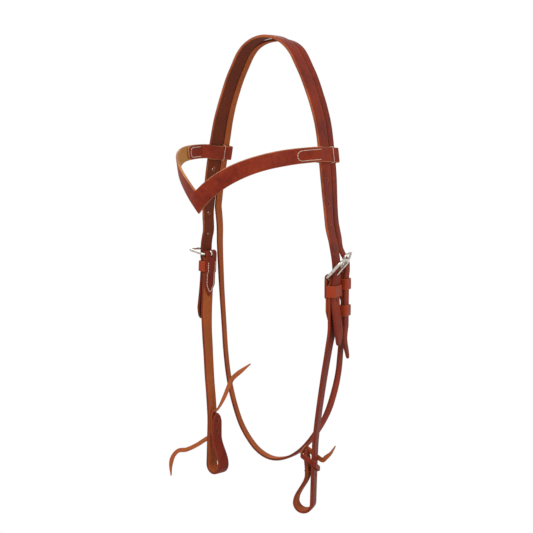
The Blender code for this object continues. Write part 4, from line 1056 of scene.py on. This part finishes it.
def leather(name, grain, flesh, rim, dark, gloss=0.54, coat=0.04, low_rim=None):
    """Harness leather: grain, flesh and cut edge told apart by the swept strap's layer."""
    n = Nodes(bpy.data.materials.new(name))
    place = n.add("TexCoord").outputs["Object"]
    along = n.add("UVMap", {"uv_map": "length_and_girth"}).outputs["UV"]
    layer = n.add("Attribute", {"attribute_name": "layer"})
    parted = n.add("SeparateColor", Color=layer.outputs["Color"])
    grain_share, edge_share = parted.outputs[0], parted.outputs[1]
    cloud = n.noise(place, 26, 4, 0.6)
    mottle = n.noise(place, 190, 4, 0.62)
    pores = n.add("TexVoronoi", {"Scale": 950, "feature": "F1"}, Vector=place).outputs["Distance"]
    creases = n.noise(place, 620, 3, 0.7)
    streaks = n.noise(along, 1, 4, 0.65, (45, 1100, 1))
    fibres = n.noise(along, 1, 3, 0.7, (380, 2600, 1))
    dyed = n.mix(n.remap(cloud, 0.32, 0.72), dark, grain)
    dyed = n.mix(n.remap(mottle, 0.45, 0.80, 0, 0.38), dyed, tuple(min(1, c * 1.55) for c in grain))
    dyed = n.mix(n.remap(streaks, 0.50, 0.78, 0, 0.30), dyed, dark)
    dyed = n.mix(n.remap(pores, 0.0, 0.30, 0.32, 0), dyed, dark)
    raw = n.mix(n.remap(fibres, 0.30, 0.75), tuple(c * 0.72 for c in flesh), flesh)
    raw = n.mix(n.remap(cloud, 0.40, 0.75, 0, 0.55), raw, tuple(min(1, c * 1.30) for c in flesh))
    raw = n.mix(n.remap(mottle, 0.52, 0.80, 0, 0.40), raw, tuple(c * 0.55 for c in flesh))
    colour = n.mix(grain_share, raw, dyed)
    burnish = n.remap(edge_share, 0.15, 0.80)
    if low_rim:
        height = n.add("SeparateXYZ", Vector=place).outputs["Z"]
        rim = n.mix(n.remap(height, *LOW_RIM_HEIGHTS), low_rim, rim)
    worn = n.mix(n.remap(cloud, 0.35, 0.62, 0.25, 0.95), dark, rim)
    worn = n.mix(n.remap(mottle, 0.50, 0.80, 0, 0.30), worn, dark)
    colour = n.mix(n.math("MULTIPLY", burnish, 0.85), colour, worn)
    shine = n.remap(cloud, 0.3, 0.7, gloss - 0.05, gloss + 0.08)
    shine = n.math("ADD", shine, n.remap(mottle, 0.4, 0.8, 0, 0.08))
    rough = n.math("ADD", n.math("MULTIPLY", n.math("SUBTRACT", 1, grain_share), 0.30), shine)
    normal = n.bump(n.remap(pores, 0, 0.5), 0.00010, 0.45)
    normal = n.bump(creases, 0.00016, 0.40, normal)
    normal = n.bump(n.math("MULTIPLY", fibres, n.math("SUBTRACT", 1, grain_share)), 0.0003, 0.55, normal)
    return n.finish(colour, rough, normal, Coat_Weight=coat, Coat_Roughness=0.35, Specular_IOR_Level=0.12)


def cut_leather(name, colour, dark):
    """The raw fibres in the wall of a punched hole."""
    n = Nodes(bpy.data.materials.new(name))
    place = n.add("TexCoord").outputs["Object"]
    fibres = n.noise(place, 2400, 3, 0.7)
    mottle = n.noise(place, 420, 3, 0.6)
    mixed = n.mix(n.remap(fibres, 0.35, 0.68), dark, colour)
    mixed = n.mix(n.remap(mottle, 0.5, 0.8, 0, 0.5), mixed, dark)
    rough = n.remap(fibres, 0.3, 0.7, 0.72, 0.92)
    return n.finish(mixed, rough, n.bump(fibres, 0.0002, 0.5), Specular_IOR_Level=0.25)


def waxed_thread(name, colour, dark):
    """Twisted thread with wax in its grooves."""
    n = Nodes(bpy.data.materials.new(name))
    place = n.add("TexCoord").outputs["Object"]
    along = n.add("UVMap", {"uv_map": "length_and_girth"}).outputs["UV"]
    turned = n.add("Mapping", {"Rotation": (0, 0, 0.6), "Scale": (1500, 1500, 1)}, Vector=along)
    wave = n.add("TexWave", {"Scale": 0.5, "Distortion": 1.2}, Vector=turned.outputs["Vector"])
    twist = wave.outputs["Fac"]
    dirt = n.noise(place, 340, 3, 0.6)
    mixed = n.mix(n.remap(twist, 0.1, 0.6), dark, colour)
    mixed = n.mix(n.remap(dirt, 0.50, 0.75, 0, 0.45), mixed, dark)
    rough = n.remap(dirt, 0.3, 0.7, 0.48, 0.70)
    return n.finish(mixed, rough, n.bump(twist, 0.00012, 0.6), Sheen_Weight=0.15)


def bright_metal(name, colour, dark):
    """Plated steel wire with fine rubbing marks, and dark patches that are partly tarnish and dirt, partly
    painted dark reflections.
    """
    n = Nodes(bpy.data.materials.new(name))
    place = n.add("TexCoord").outputs["Object"]
    along = n.add("UVMap", {"uv_map": "length_and_girth"}).outputs["UV"]
    # Noise for dark patches in the metal's colour and roughness: partly tarnish and dirt, partly painted
    # dark reflections
    grime_and_painted_reflection = n.noise(place, 330, 4, 0.62)
    rubs = n.noise(along, 1, 3, 0.7, (160, 5200, 1))
    dents = n.noise(place, 800, 2, 0.5)
    mixed = n.mix(n.remap(grime_and_painted_reflection, 0.52, 0.74, 0, 0.75), colour, dark)
    rough = n.math("ADD", n.remap(rubs, 0.35, 0.75, 0.16, 0.32), n.remap(grime_and_painted_reflection, 0.52, 0.75, 0, 0.22))
    normal = n.bump(rubs, 0.00004, 0.4, n.bump(dents, 0.00010, 0.35))
    return n.finish(mixed, rough, normal, Metallic=1)


# The folded ends at the cheek buckles and at the throat latch's, and how each side hangs
cheek = Fold(
    width=0.016, thickness=0.0036, layer=0.0024, length=0.050, point=0.013, inset=0.0026, wire=0.0032,
    tongue_wire=0.0024, buckle_length=0.0255, side_play=0.00075, corner=0.0062, slot_width=0.0046,
    slot_depth=0.0065, hole_pitch=0.0254, hole_diameter=0.0032, keeper_drop=0.0085,
    keeper_height=0.0125, billet_width=BILLET_WIDTH, billet_thickness=CROWN_THICKNESS,
)
latch = Fold(
    width=0.0098, thickness=0.0030, layer=0.0020, length=0.034, point=0.008, inset=0.0022, wire=0.0024,
    tongue_wire=0.0020, buckle_length=0.019, side_play=0.0005, corner=0.0045, slot_width=0.0036,
    slot_depth=0.0052, hole_pitch=0.019, hole_diameter=0.0032, keeper_drop=0.0100, keeper_height=0.012,
)
left = Side(
    "left", -1, left_spread_shares, left_toe_shares,
    tilt=math.radians(85), hole_drop=0.2474, bow_run=0.046, tip_length=0.0765, tip_flare=0.0040,
    bottom=0.5045, loop_gap=0.0155, leg_lean=0.0,
)
right = Side(
    "right", 1, right_spread_shares, right_toe_shares,
    tilt=math.radians(42), hole_drop=0.2545, bow_run=0.055, tip_length=0.0708, tip_flare=0.0065,
    bottom=0.5205, loop_gap=0.016, leg_lean=0.0030,
)

strap_leather = leather("russet_harness_leather", CHEEK_RUSSET, FLESH, CHEEK_EDGE, DARK_RUSSET)
crown_leather = leather("crown_leather", RUSSET, CROWN_FLESH, CUT_EDGE, DARK_RUSSET, low_rim=DARK_EDGE)
brow_leather = leather("browband_leather", RUSSET, PALE_FLESH, PALE_EDGE, DARK_RUSSET)
latch_leather = leather("latch_leather", RUSSET, LATCH_FLESH, DARK_EDGE, DARK_RUSSET)
keeper_leather = leather("keeper_leather", BRIGHT_RUSSET, FLESH, CUT_EDGE, RUSSET, 0.44, 0.08)
lace_leather = leather("lace_leather", RUSSET, LATCH_FLESH, CUT_EDGE, DARK_RUSSET, 0.52, 0.04)
hole_leather = cut_leather("punched_leather", HOLE_WALL, DARK_RUSSET)
thread = waxed_thread("waxed_thread", THREAD_COLOUR, THREAD_DARK)
nickel = bright_metal("plated_wire", NICKEL, TARNISH_AND_PAINTED_REFLECTION)


def add_strap(node, stations, thickness, material, face=1, cutters=None, **form):
    piece = sweep(node + "_leather", stations, thickness, face, **form)
    piece.data.materials.append(material)
    if cutters:
        punch(piece, cutters, hole_leather)
    stand_in(piece, node)


def hole_cutters(side, fold, heel, tilt, used_drop, point_at, used_depth, depth):
    """Cutters for a billet's holes, the used one along the tongue that lies in it."""
    cutters = []
    for number in HOLE_NUMBERS:
        drop = used_drop + number * fold.hole_pitch
        if number == 0:
            way = heel.to_3x3() @ Vector((math.cos(tilt), math.sin(tilt), 0))
            radius = fold.tongue_wire / 2 + TONGUE_HOLE_PLAY
            cutters.append(lathe_cutter(point_at(drop), way, radius, used_depth))
        else:
            cutters.append(lathe_cutter(
                point_at(drop), side.frame(drop)[2], fold.hole_diameter / 2, depth,
                HOLE_RIM, fold.billet_thickness / 2,
            ))
    return cutters


def make_crown_strap():
    stations = list(reversed(crown_side_stations(left)))
    stations += poll_stations(0, 0, CROWN_WIDTH)
    stations += crown_side_stations(right)
    cutters = []
    for side in (left, right):
        cutters += hole_cutters(
            side, cheek, side.heel_frame(side.heel_drop), side.tilt, side.hole_drop,
            lambda drop: side.place(drop, crown_out(side, drop)), 4 * CROWN_THICKNESS, 3 * CROWN_THICKNESS,
        )
    add_strap("crown_strap", stations, CROWN_THICKNESS, crown_leather, 1, cutters)


def make_cheekpiece(side):
    heel = side.heel_frame(side.heel_drop)
    front = side.frame(side.heel_drop)[3]
    stations = cheek.stations(heel, front)
    start = side.heel_drop - cheek.rows()[-1][0]
    for drop in steps_between(start, side.bottom - BIT_LOOP_HEIGHT, LONG_STEP)[1:-1]:
        stations.append((side.place(drop, cheek.main_out), side.frame(drop)[3], cheek.width, 1))
    rows = loop_rows(side)
    for number, (up, out_by, share) in enumerate(rows):
        width = leg_width(up) if number > len(rows) / 2 else cheek.width
        drop = side.bottom - up
        stations.append((side.place(drop, out_by), side.frame(drop)[3], width, share))
    cutters = [box_cut(heel, (2 * cheek.slot_depth, 4 * cheek.slot_depth, cheek.slot_width))]
    for number in range(2):
        up = LACE_HOLE_UP + number * LACE_HOLE_PITCH
        place = bit_frame(side, up, leg_out(side, up))
        out = place.to_3x3() @ Vector((1, 0, 0))
        cutters.append(lathe_cutter(
            place.translation, out, LACE_HOLE_DIAMETER / 2, cheek.thickness + LACE_SPACE,
            HOLE_RIM, cheek.thickness / 2,
        ))
    place = bit_frame(side, LACE_SLOT_UP, cheek.main_out) @ Matrix.Rotation(SLOT_TURN, 4, "X")
    cutters.append(box_cut(place, (cheek.thickness + LACE_SPACE, LACE_SLOT_WIDTH, LACE_SLOT_HEIGHT)))
    node = side.name + "_cheekpiece"
    add_strap(node, stations, cheek.thickness, strap_leather, side.sign, cutters)
    make_heel_stitches(side.name + "_cheek_stitching", heel, cheek.stitch_line())


def make_heel_stitches(node, heel, line):
    """A V of stitches, sunk in the inner face of a folded end."""
    down = Vector((0, THREAD_LIFT + THREAD / 2, 0))
    inward = heel.to_3x3() @ Vector((0, -1, 0))
    one = [(heel @ (point + down), inward) for point in line]
    other = [(heel @ (Vector((point.x, point.y, -point.z)) + down), inward) for point in line]
    path = one + list(reversed(other))
    piece = stitches(node + "_stitches", even_places(path, STITCH_PITCH))
    dress(piece, node, thread)


def frame_ring(width, length, corner):
    """A rounded frame, its heel bar on the Z axis and its nose at +X."""
    half = width / 2
    points = []
    centres = (
        (length - corner, half - corner, 90, corner), (length - corner, corner - half, 0, corner),
        (corner / 2, corner / 2 - half, -90, corner / 2), (corner / 2, half - corner / 2, -180, corner / 2),
    )
    for x, z, start, radius in centres:
        for step in range(RING_CORNER_STEPS + 1):
            angle = math.radians(start - 90 * step / RING_CORNER_STEPS)
            points.append(Vector((x + radius * math.cos(angle), 0, z + radius * math.sin(angle))))
    return points


def make_buckle(node, heel, tilt, fold):
    turn = heel @ Matrix.Rotation(tilt, 4, "Z")
    width = 2 * fold.buckle_half - fold.wire
    ring = [turn @ point for point in frame_ring(width, fold.buckle_length, fold.corner)]
    piece = tube(node + "_frame_wire", ring, [fold.wire / 2] * len(ring), closed=True)
    dress(piece, node + "_frame", nickel)
    offset = fold.tongue_offset
    points = []
    for angle in steps_between(*TONGUE_CURL):
        points.append(Vector((offset * math.cos(angle), offset * math.sin(angle), 0)))
    reach = fold.buckle_length + TONGUE_TIP
    for along in steps_between(0, reach, SMALL_STEP / 2)[1:]:
        points.append(Vector((along, offset, 0)))
    radii = []
    for point in points:
        slim = smooth(((0, 1, 0), (reach, TONGUE_TAPER, 0)), point.x if point.y > 0 else 0)
        radii.append(fold.tongue_wire / 2 * slim)
    piece = tube(node + "_tongue_wire", [turn @ point for point in points], radii)
    dress(piece, node + "_tongue", nickel)


def rounded(low, high, side, corner, steps):
    """Points (x, y) round a rectangle with round corners, from low to high and side to side."""
    points = []
    for quarter in range(4):
        x = high - corner if quarter in (0, 3) else low + corner
        y = side - corner if quarter in (0, 1) else corner - side
        for step in range(steps + 1):
            angle = math.pi / 2 * (quarter + step / steps)
            points.append((x + corner * math.cos(angle), y + corner * math.sin(angle)))
    return points


def make_keeper(node, place, low, high, half_width, height, lining):
    """A closed loop of leather round the layers from low to high, at its place's origin."""
    half = KEEPER_LEATHER / 2
    share = lining / KEEPER_LEATHER
    inner = low - FIT_GAP - lining / 2
    outer = high + FIT_GAP + half
    side_out = half_width + KEEPER_PLAY + half
    rows = [
        (across, out_by, 1 if out_by > (inner + outer) / 2 else share)
        for out_by, across in rounded(inner, outer, side_out, 2 * half, KEEPER_CORNER_STEPS)
    ]
    stations = []
    turn = place.to_3x3()
    count = len(rows)
    for index, (across, out_by, thick) in enumerate(rows):
        after = rows[(index + 1) % count]
        gap = math.hypot(after[0] - across, after[1] - out_by)
        steps = max(1, round(gap / SMALL_STEP))
        for step in range(steps):
            t = step / steps
            point = Vector((0, out_by + (after[1] - out_by) * t, across + (after[0] - across) * t))
            thickness = thick + (after[2] - thick) * t
            stations.append((place @ point, turn @ Vector((1, 0, 0)), height, thickness))
    add_strap(
        node, stations, KEEPER_LEATHER, keeper_leather, -1,
        edge=KEEPER_EDGE, sag=KEEPER_SAG, closed=True,
    )


def make_cheek_keeper(side):
    centre = side.heel_drop + cheek.keeper_drop + cheek.keeper_height / 2
    low = cheek.main_out - cheek.thickness / 2
    high = crown_out(side, centre) + CROWN_THICKNESS / 2
    make_keeper(
        side.name + "_cheek_keeper", side.heel_frame(centre), low, high,
        cheek.width / 2, cheek.keeper_height, KEEPER_LINING,
    )


def make_throat_latch_strap():
    tip = LATCH_HEEL_DROP + LATCH_TIP_LENGTH
    stations = []
    for drop in stops(tip, (tip - TIP_TAPER, SMALL_STEP), (poll_end_drop(), LONG_STEP))[:-1]:
        middle = right.place(drop, latch_out(drop), latch_front(drop))
        width = tip_width(latch.width, tip - drop, latch.width / 3)
        stations.append((middle, right.frame(drop)[3], width, 1))
    poll_front = latch_front(poll_end_drop())
    stations += list(reversed(poll_stations(poll_front, LATCH_SAG, latch.width)))
    for drop in steps_between(poll_end_drop(), LATCH_FREE_DROP, LONG_STEP)[1:]:
        middle = left.place(drop, 0, latch_front(drop))
        stations.append((middle, left.frame(drop)[3], latch.width, 1))
    heel = latch_heel()
    fold_start = -latch.rows()[-1][0]
    folded_down = LATCH_SLIDING_KEEPER_DROP + 2 * latch.keeper_height
    route = [stations[-1][0]]
    for spread_share, drop_share in latch_route_shares:
        route.append(Vector((spread_share * HALF_SPREAD, LATCH_REAR, -drop_share * HANG_DROP)))
    route.append(heel @ Vector((-folded_down, latch.main_out, 0)))
    points = spline(route, ROUTE_STEPS)
    front = right.frame(LATCH_HEEL_DROP)[3]
    directions = across_path(points, stations[-1][1], front)
    stations += [(point, across, latch.width, 1) for point, across in zip(points, directions)][1:]
    for down in steps_between(folded_down, fold_start, LONG_STEP)[1:-1]:
        stations.append((heel @ Vector((-down, latch.main_out, 0)), front, latch.width, 1))
    stations += latch.stations(heel, front)[::-1]
    cutters = [box_cut(heel, (2 * latch.slot_depth, 5 * latch.layer, latch.slot_width))]
    cutters += hole_cutters(
        right, latch, heel, LATCH_BUCKLE_TILT,
        LATCH_HEEL_DROP - latch.tongue_height(LATCH_BUCKLE_TILT),
        lambda drop: right.place(drop, latch_out(drop), latch_front(drop)),
        latch.thickness / math.sin(LATCH_BUCKLE_TILT) + 2 * CUT_OVERRUN, latch.thickness + FIT_GAP,
    )
    add_strap("throat_latch_strap", stations, latch.thickness, latch_leather, -1, cutters)
    make_heel_stitches("throat_latch_stitching", heel, latch.stitch_line())


def make_throat_keepers():
    heel = latch_heel()
    high = latch.main_out + latch.thickness + FIT_GAP + latch.thickness / 2
    low = latch.main_out - latch.thickness / 2
    for node, drop, lining in (
        ("throat_fixed_keeper", latch.keeper_drop, KEEPER_LINING),
        ("throat_sliding_keeper", LATCH_SLIDING_KEEPER_DROP, KEEPER_LEATHER),
    ):
        place = heel @ Matrix.Translation((-drop - latch.keeper_height / 2, 0, 0))
        make_keeper(node, place, low, high, latch.width / 2, latch.keeper_height, lining)


def make_browband():
    thin = BROW_LOOP_THICKNESS / BROW_THICKNESS
    half = []
    for share in steps_between(0, 1, 1 / BROW_STEPS):
        point, _, across = brow_station(share)
        width = BROW_MIDDLE_WIDTH + (BROW_END_WIDTH - BROW_MIDDLE_WIDTH) * share
        half.append((point, across, width, 1))
    up = -right.frame(BROW_DROP)[1]
    outer = CROWN_THICKNESS / 2 + BROW_SLACK + BROW_LOOP_THICKNESS / 2
    start = CROWN_WIDTH / 2 + BROW_END_GAP
    rear = latch_front(BROW_DROP) - latch.width / 2
    rows = [(outer, place) for place in steps_between(start, rear, SMALL_STEP)[1:]]
    for angle in steps_between(0, math.pi, math.pi / FOLD_STEPS)[1:]:
        rows.append((outer * math.cos(angle), rear - outer * math.sin(angle)))
    rows += [(-outer, place) for place in steps_between(rear, start - CROWN_WIDTH / 8, SMALL_STEP)[1:]]
    for out_by, front_by in rows:
        half.append((right.place(BROW_DROP, out_by, front_by), up, BROW_END_WIDTH, thin))
    lying = -(BROW_THICKNESS / 2 + FIT_GAP + BROW_LOOP_THICKNESS / 2)
    blend = ((0, -outer - BROW_MIDDLE_OUT, 0), (BROW_FOLD_BLEND, lying, 0))
    for distance in steps_between(0, BROW_FOLD_BACK, SMALL_STEP)[1:]:
        across = brow_station(brow_share(distance))[2]
        point = brow_place(distance, smooth(blend, distance))
        width = BROW_END_WIDTH
        from_end = BROW_FOLD_BACK - distance
        if from_end < BROW_FOLD_ROUND:
            width *= BROW_END_SHARE + (1 - BROW_END_SHARE) * math.sqrt(from_end / BROW_FOLD_ROUND)
        half.append((point, across, width, thin))
    other = [(on_side(station[0], -1), on_side(station[1], -1), *station[2:]) for station in half]
    stations = other[::-1] + half[1:]
    add_strap("browband", stations, BROW_THICKNESS, brow_leather, -1)
    for sign, name in ((-1, "left"), (1, "right")):
        make_brow_stitches(f"browband_{name}_stitching", sign)
        make_brow_divider(f"browband_{name}_divider", sign)


def make_brow_stitches(node, sign):
    """The U of stitches of one end of the browband, on its outer face and on its lining."""
    up_by = BROW_END_WIDTH / 2 - cheek.inset
    lining = BROW_THICKNESS / 2 + FIT_GAP + BROW_LOOP_THICKNESS
    pieces = []
    for face, way, start in ((BROW_THICKNESS / 2, 1, BROW_STITCH_START), (-lining, -1, BROW_FOLD_BLEND)):
        flat = steps_between(start, BROW_STITCH_END - up_by, SMALL_STEP)
        bend = steps_between(0, math.pi, math.pi / STITCH_BEND_STEPS)
        rows = [(place, up_by) for place in flat]
        rows += [(flat[-1] + up_by * math.sin(a) * BROW_U_LENGTH, up_by * math.cos(a)) for a in bend[1:-1]]
        rows += [(place, -up_by) for place in reversed(flat)]
        path = [
            (
                on_side(brow_place(distance, face, up), sign),
                on_side(brow_station(brow_share(distance))[1] * way, sign),
            )
            for distance, up in rows
        ]
        pieces.append(stitches(node + "_row", even_places(path, STITCH_PITCH)))
    piece = join(node + "_stitches", pieces)
    dress(piece, node, thread)


def make_brow_divider(node, sign):
    """Thread pulled tight round the folded end of the browband, between the two straps in it."""
    out_by = CROWN_THICKNESS / 2 + BROW_SLACK + BROW_LOOP_THICKNESS + THREAD_LIFT + DIVIDER_THREAD / 2
    up_by = BROW_END_WIDTH / 2 + THREAD_LIFT + DIVIDER_THREAD / 2
    _, down, out, _ = right.frame(BROW_DROP)
    middle = right.place(BROW_DROP, 0, -(CROWN_WIDTH + STRAP_GAP) / 2)
    points = [
        on_side(middle + out * along - down * up, sign)
        for along, up in rounded(-out_by, out_by, up_by, DIVIDER_CORNER, DIVIDER_CORNER_STEPS)
    ]
    piece = tube(node + "_thread", points, [DIVIDER_SIZE / 2] * len(points), closed=True)
    dress(piece, node, thread)


def lace_stations(points, faces):
    """Stations of a lace with two pointed ends, from its points and the way its face turns there."""
    lengths = run_lengths(points)
    stations = []
    for index, (point, face) in enumerate(zip(points, faces)):
        across = tangent_at(points, index).cross(face).normalized()
        from_end = min(lengths[index], lengths[-1] - lengths[index], LACE_POINT)
        width = LACE_POINT_WIDTH + (LACE_WIDTH - LACE_POINT_WIDTH) * from_end / LACE_POINT
        stations.append((point, across, width, 1))
    return stations


def make_lace(node, place, route):
    points = spline([place @ point for point, _ in route], LACE_STEPS)
    turned = [place.to_3x3() @ face for _, face in route]
    faces = [turned[0]]
    for low, high in zip(turned, turned[1:]):
        for step in range(1, LACE_STEPS + 1):
            faces.append(low.lerp(high, step / LACE_STEPS).normalized())
    add_strap(node, lace_stations(points, faces), LACE_THICKNESS, lace_leather, 1, edge=LACE_EDGE)


def make_left_tie():
    """The untied lace: in through the slot, forwards between the legs and up past their edge."""
    place = bit_frame(left, LACE_SLOT_UP, cheek.main_out)
    diagonal = Vector((0, 1, 1)).normalized()
    inward = Vector((-1, 0, 0))
    route = []
    for shares in left_lace_outer_shares:
        face = Vector((-shares[2], 0, -shares[0])).normalized() - Vector((0, LACE_ROLL, 0))
        route.append((scaled(shares, BIT_LEG_LENGTH), face.normalized()))
    for out_share, diagonal_share in lace_bend_shares:
        point = diagonal * (diagonal_share * LACE_SLOT_HEIGHT)
        point.x = out_share * cheek.thickness
        turn = max(0, min(1, 0.5 - out_share))
        route.append((point, (inward * turn - diagonal * (1 - turn)).normalized()))
    backward = Vector((0, -1, 0))
    for number, shares in enumerate(left_lace_inner_shares):
        turn = max(0, min(1, (number - 3) * LACE_TURN_SHARE))
        face = (inward * (1 - turn) + backward * turn).normalized()
        route.append((scaled(shares, BIT_LEG_LENGTH), face))
    make_lace("left_bit_tie", place, route)


def make_right_tie():
    """The tied lace: a free end, then more than a turn down round both legs."""
    place = bit_frame(right, 0)
    lift = 2 * FIT_GAP + LACE_THICKNESS / 2
    outer = cheek.main_out + cheek.thickness / 2 + lift
    side_by = cheek.width / 2 + lift
    corner = KNOT_CORNER
    route = []
    start = KNOT_TOP - KNOT_DROP * knot_drop_rows[0][1]
    for shares in right_lace_tip_shares:
        point = scaled(shares, BIT_LEG_LENGTH) + Vector((outer, side_by, start))
        route.append((point, Vector((0, 1, 0))))
    for number in range(KNOT_QUARTERS * KNOT_STEPS):
        quarter = number // KNOT_STEPS
        turned = number % KNOT_STEPS / (KNOT_STEPS - 1)
        up = KNOT_TOP - KNOT_DROP * smooth(knot_drop_rows, quarter + turned * KNOT_ARC_SHARE)
        inner = leg_out(right, up + LACE_WIDTH / 2) - cheek.thickness / 2 - lift
        middle_out = outer - corner if quarter % 4 in (2, 3) else inner + corner
        middle_back = side_by - corner if quarter % 4 in (3, 0) else corner - side_by
        angle = math.pi / 2 * (quarter + 1 + turned)
        face = Vector((math.cos(angle), math.sin(angle), 0))
        route.append((Vector((middle_out, middle_back, up)) + face * corner, face))
    end = KNOT_TOP - KNOT_DROP * knot_drop_rows[-1][1]
    route.append((Vector((inner, 0, end)), Vector((-1, 0, 0))))
    make_lace("right_bit_tie", place, route)


def make_camera():
    """The camera at the photograph's viewing angle."""
    camera = bpy.data.cameras.new("photo_camera")
    camera.sensor_width = SENSOR_WIDTH
    camera.lens = LENS
    eye = new_piece("photo_camera", camera)
    azimuth, elevation = math.radians(CAMERA_AZIMUTH), math.radians(CAMERA_ELEVATION)
    side = Vector((math.cos(azimuth), math.sin(azimuth), 0))
    ahead = Vector((-math.sin(azimuth), math.cos(azimuth), 0))
    view = ahead * math.cos(elevation) - Vector((0, 0, math.sin(elevation)))
    eye.matrix_world = placed((side, side.cross(view), -view), CAMERA_PLACE)
    bpy.context.scene.camera = eye


def add_lamp(name, place, target, size, power):
    lamp = bpy.data.lights.new(name, "AREA")
    lamp.shape = "RECTANGLE"
    lamp.size, lamp.size_y = size
    lamp.energy = power
    lamp.color = WHITE
    holder = new_piece(name, lamp)
    holder.location = place
    holder.rotation_euler = (Vector(target) - Vector(place)).to_track_quat("-Z", "Y").to_euler()


def make_studio():
    """Soft lamps, a white room and a plain floor."""
    scene = bpy.context.scene
    scene.view_settings.view_transform = "Standard"
    scene.world = bpy.data.worlds.new("white_room")
    n = Nodes(scene.world, "Background")
    n.feed(n.shader, (n.mix(n.seen(), ROOM_LIGHT, WHITE), "Color"))
    for lamp in LAMPS:
        add_lamp(*lamp)
    work = bmesh.new()
    bmesh.ops.create_grid(work, x_segments=1, y_segments=1, size=FLOOR_SIZE)
    floor = finished(work, "floor")
    floor.location.z = FLOOR_HEIGHT
    n = Nodes(bpy.data.materials.new("white_floor"))
    n.finish(FLOOR_COLOUR, FLOOR_ROUGHNESS)
    glow = n.add("Emission", {"Color": (*WHITE, 1), "Strength": 1})
    mixed = n.feed(
        n.add("MixShader"), (n.seen(), 0), (n.shader.outputs[0], 1), (glow.outputs[0], 2),
    )
    n.link(mixed[0], n.tree.nodes["Material Output"].inputs["Surface"])
    floor.data.materials.append(n.holder)


make_camera()
make_studio()
make_crown_strap()
for side in (left, right):
    make_cheekpiece(side)
    make_buckle(side.name + "_cheek_buckle", side.heel_frame(side.heel_drop), side.tilt, cheek)
    make_cheek_keeper(side)
make_throat_latch_strap()
make_buckle("throat_buckle", latch_heel(), LATCH_BUCKLE_TILT, latch)
make_throat_keepers()
make_browband()
make_left_tie()
make_right_tie()
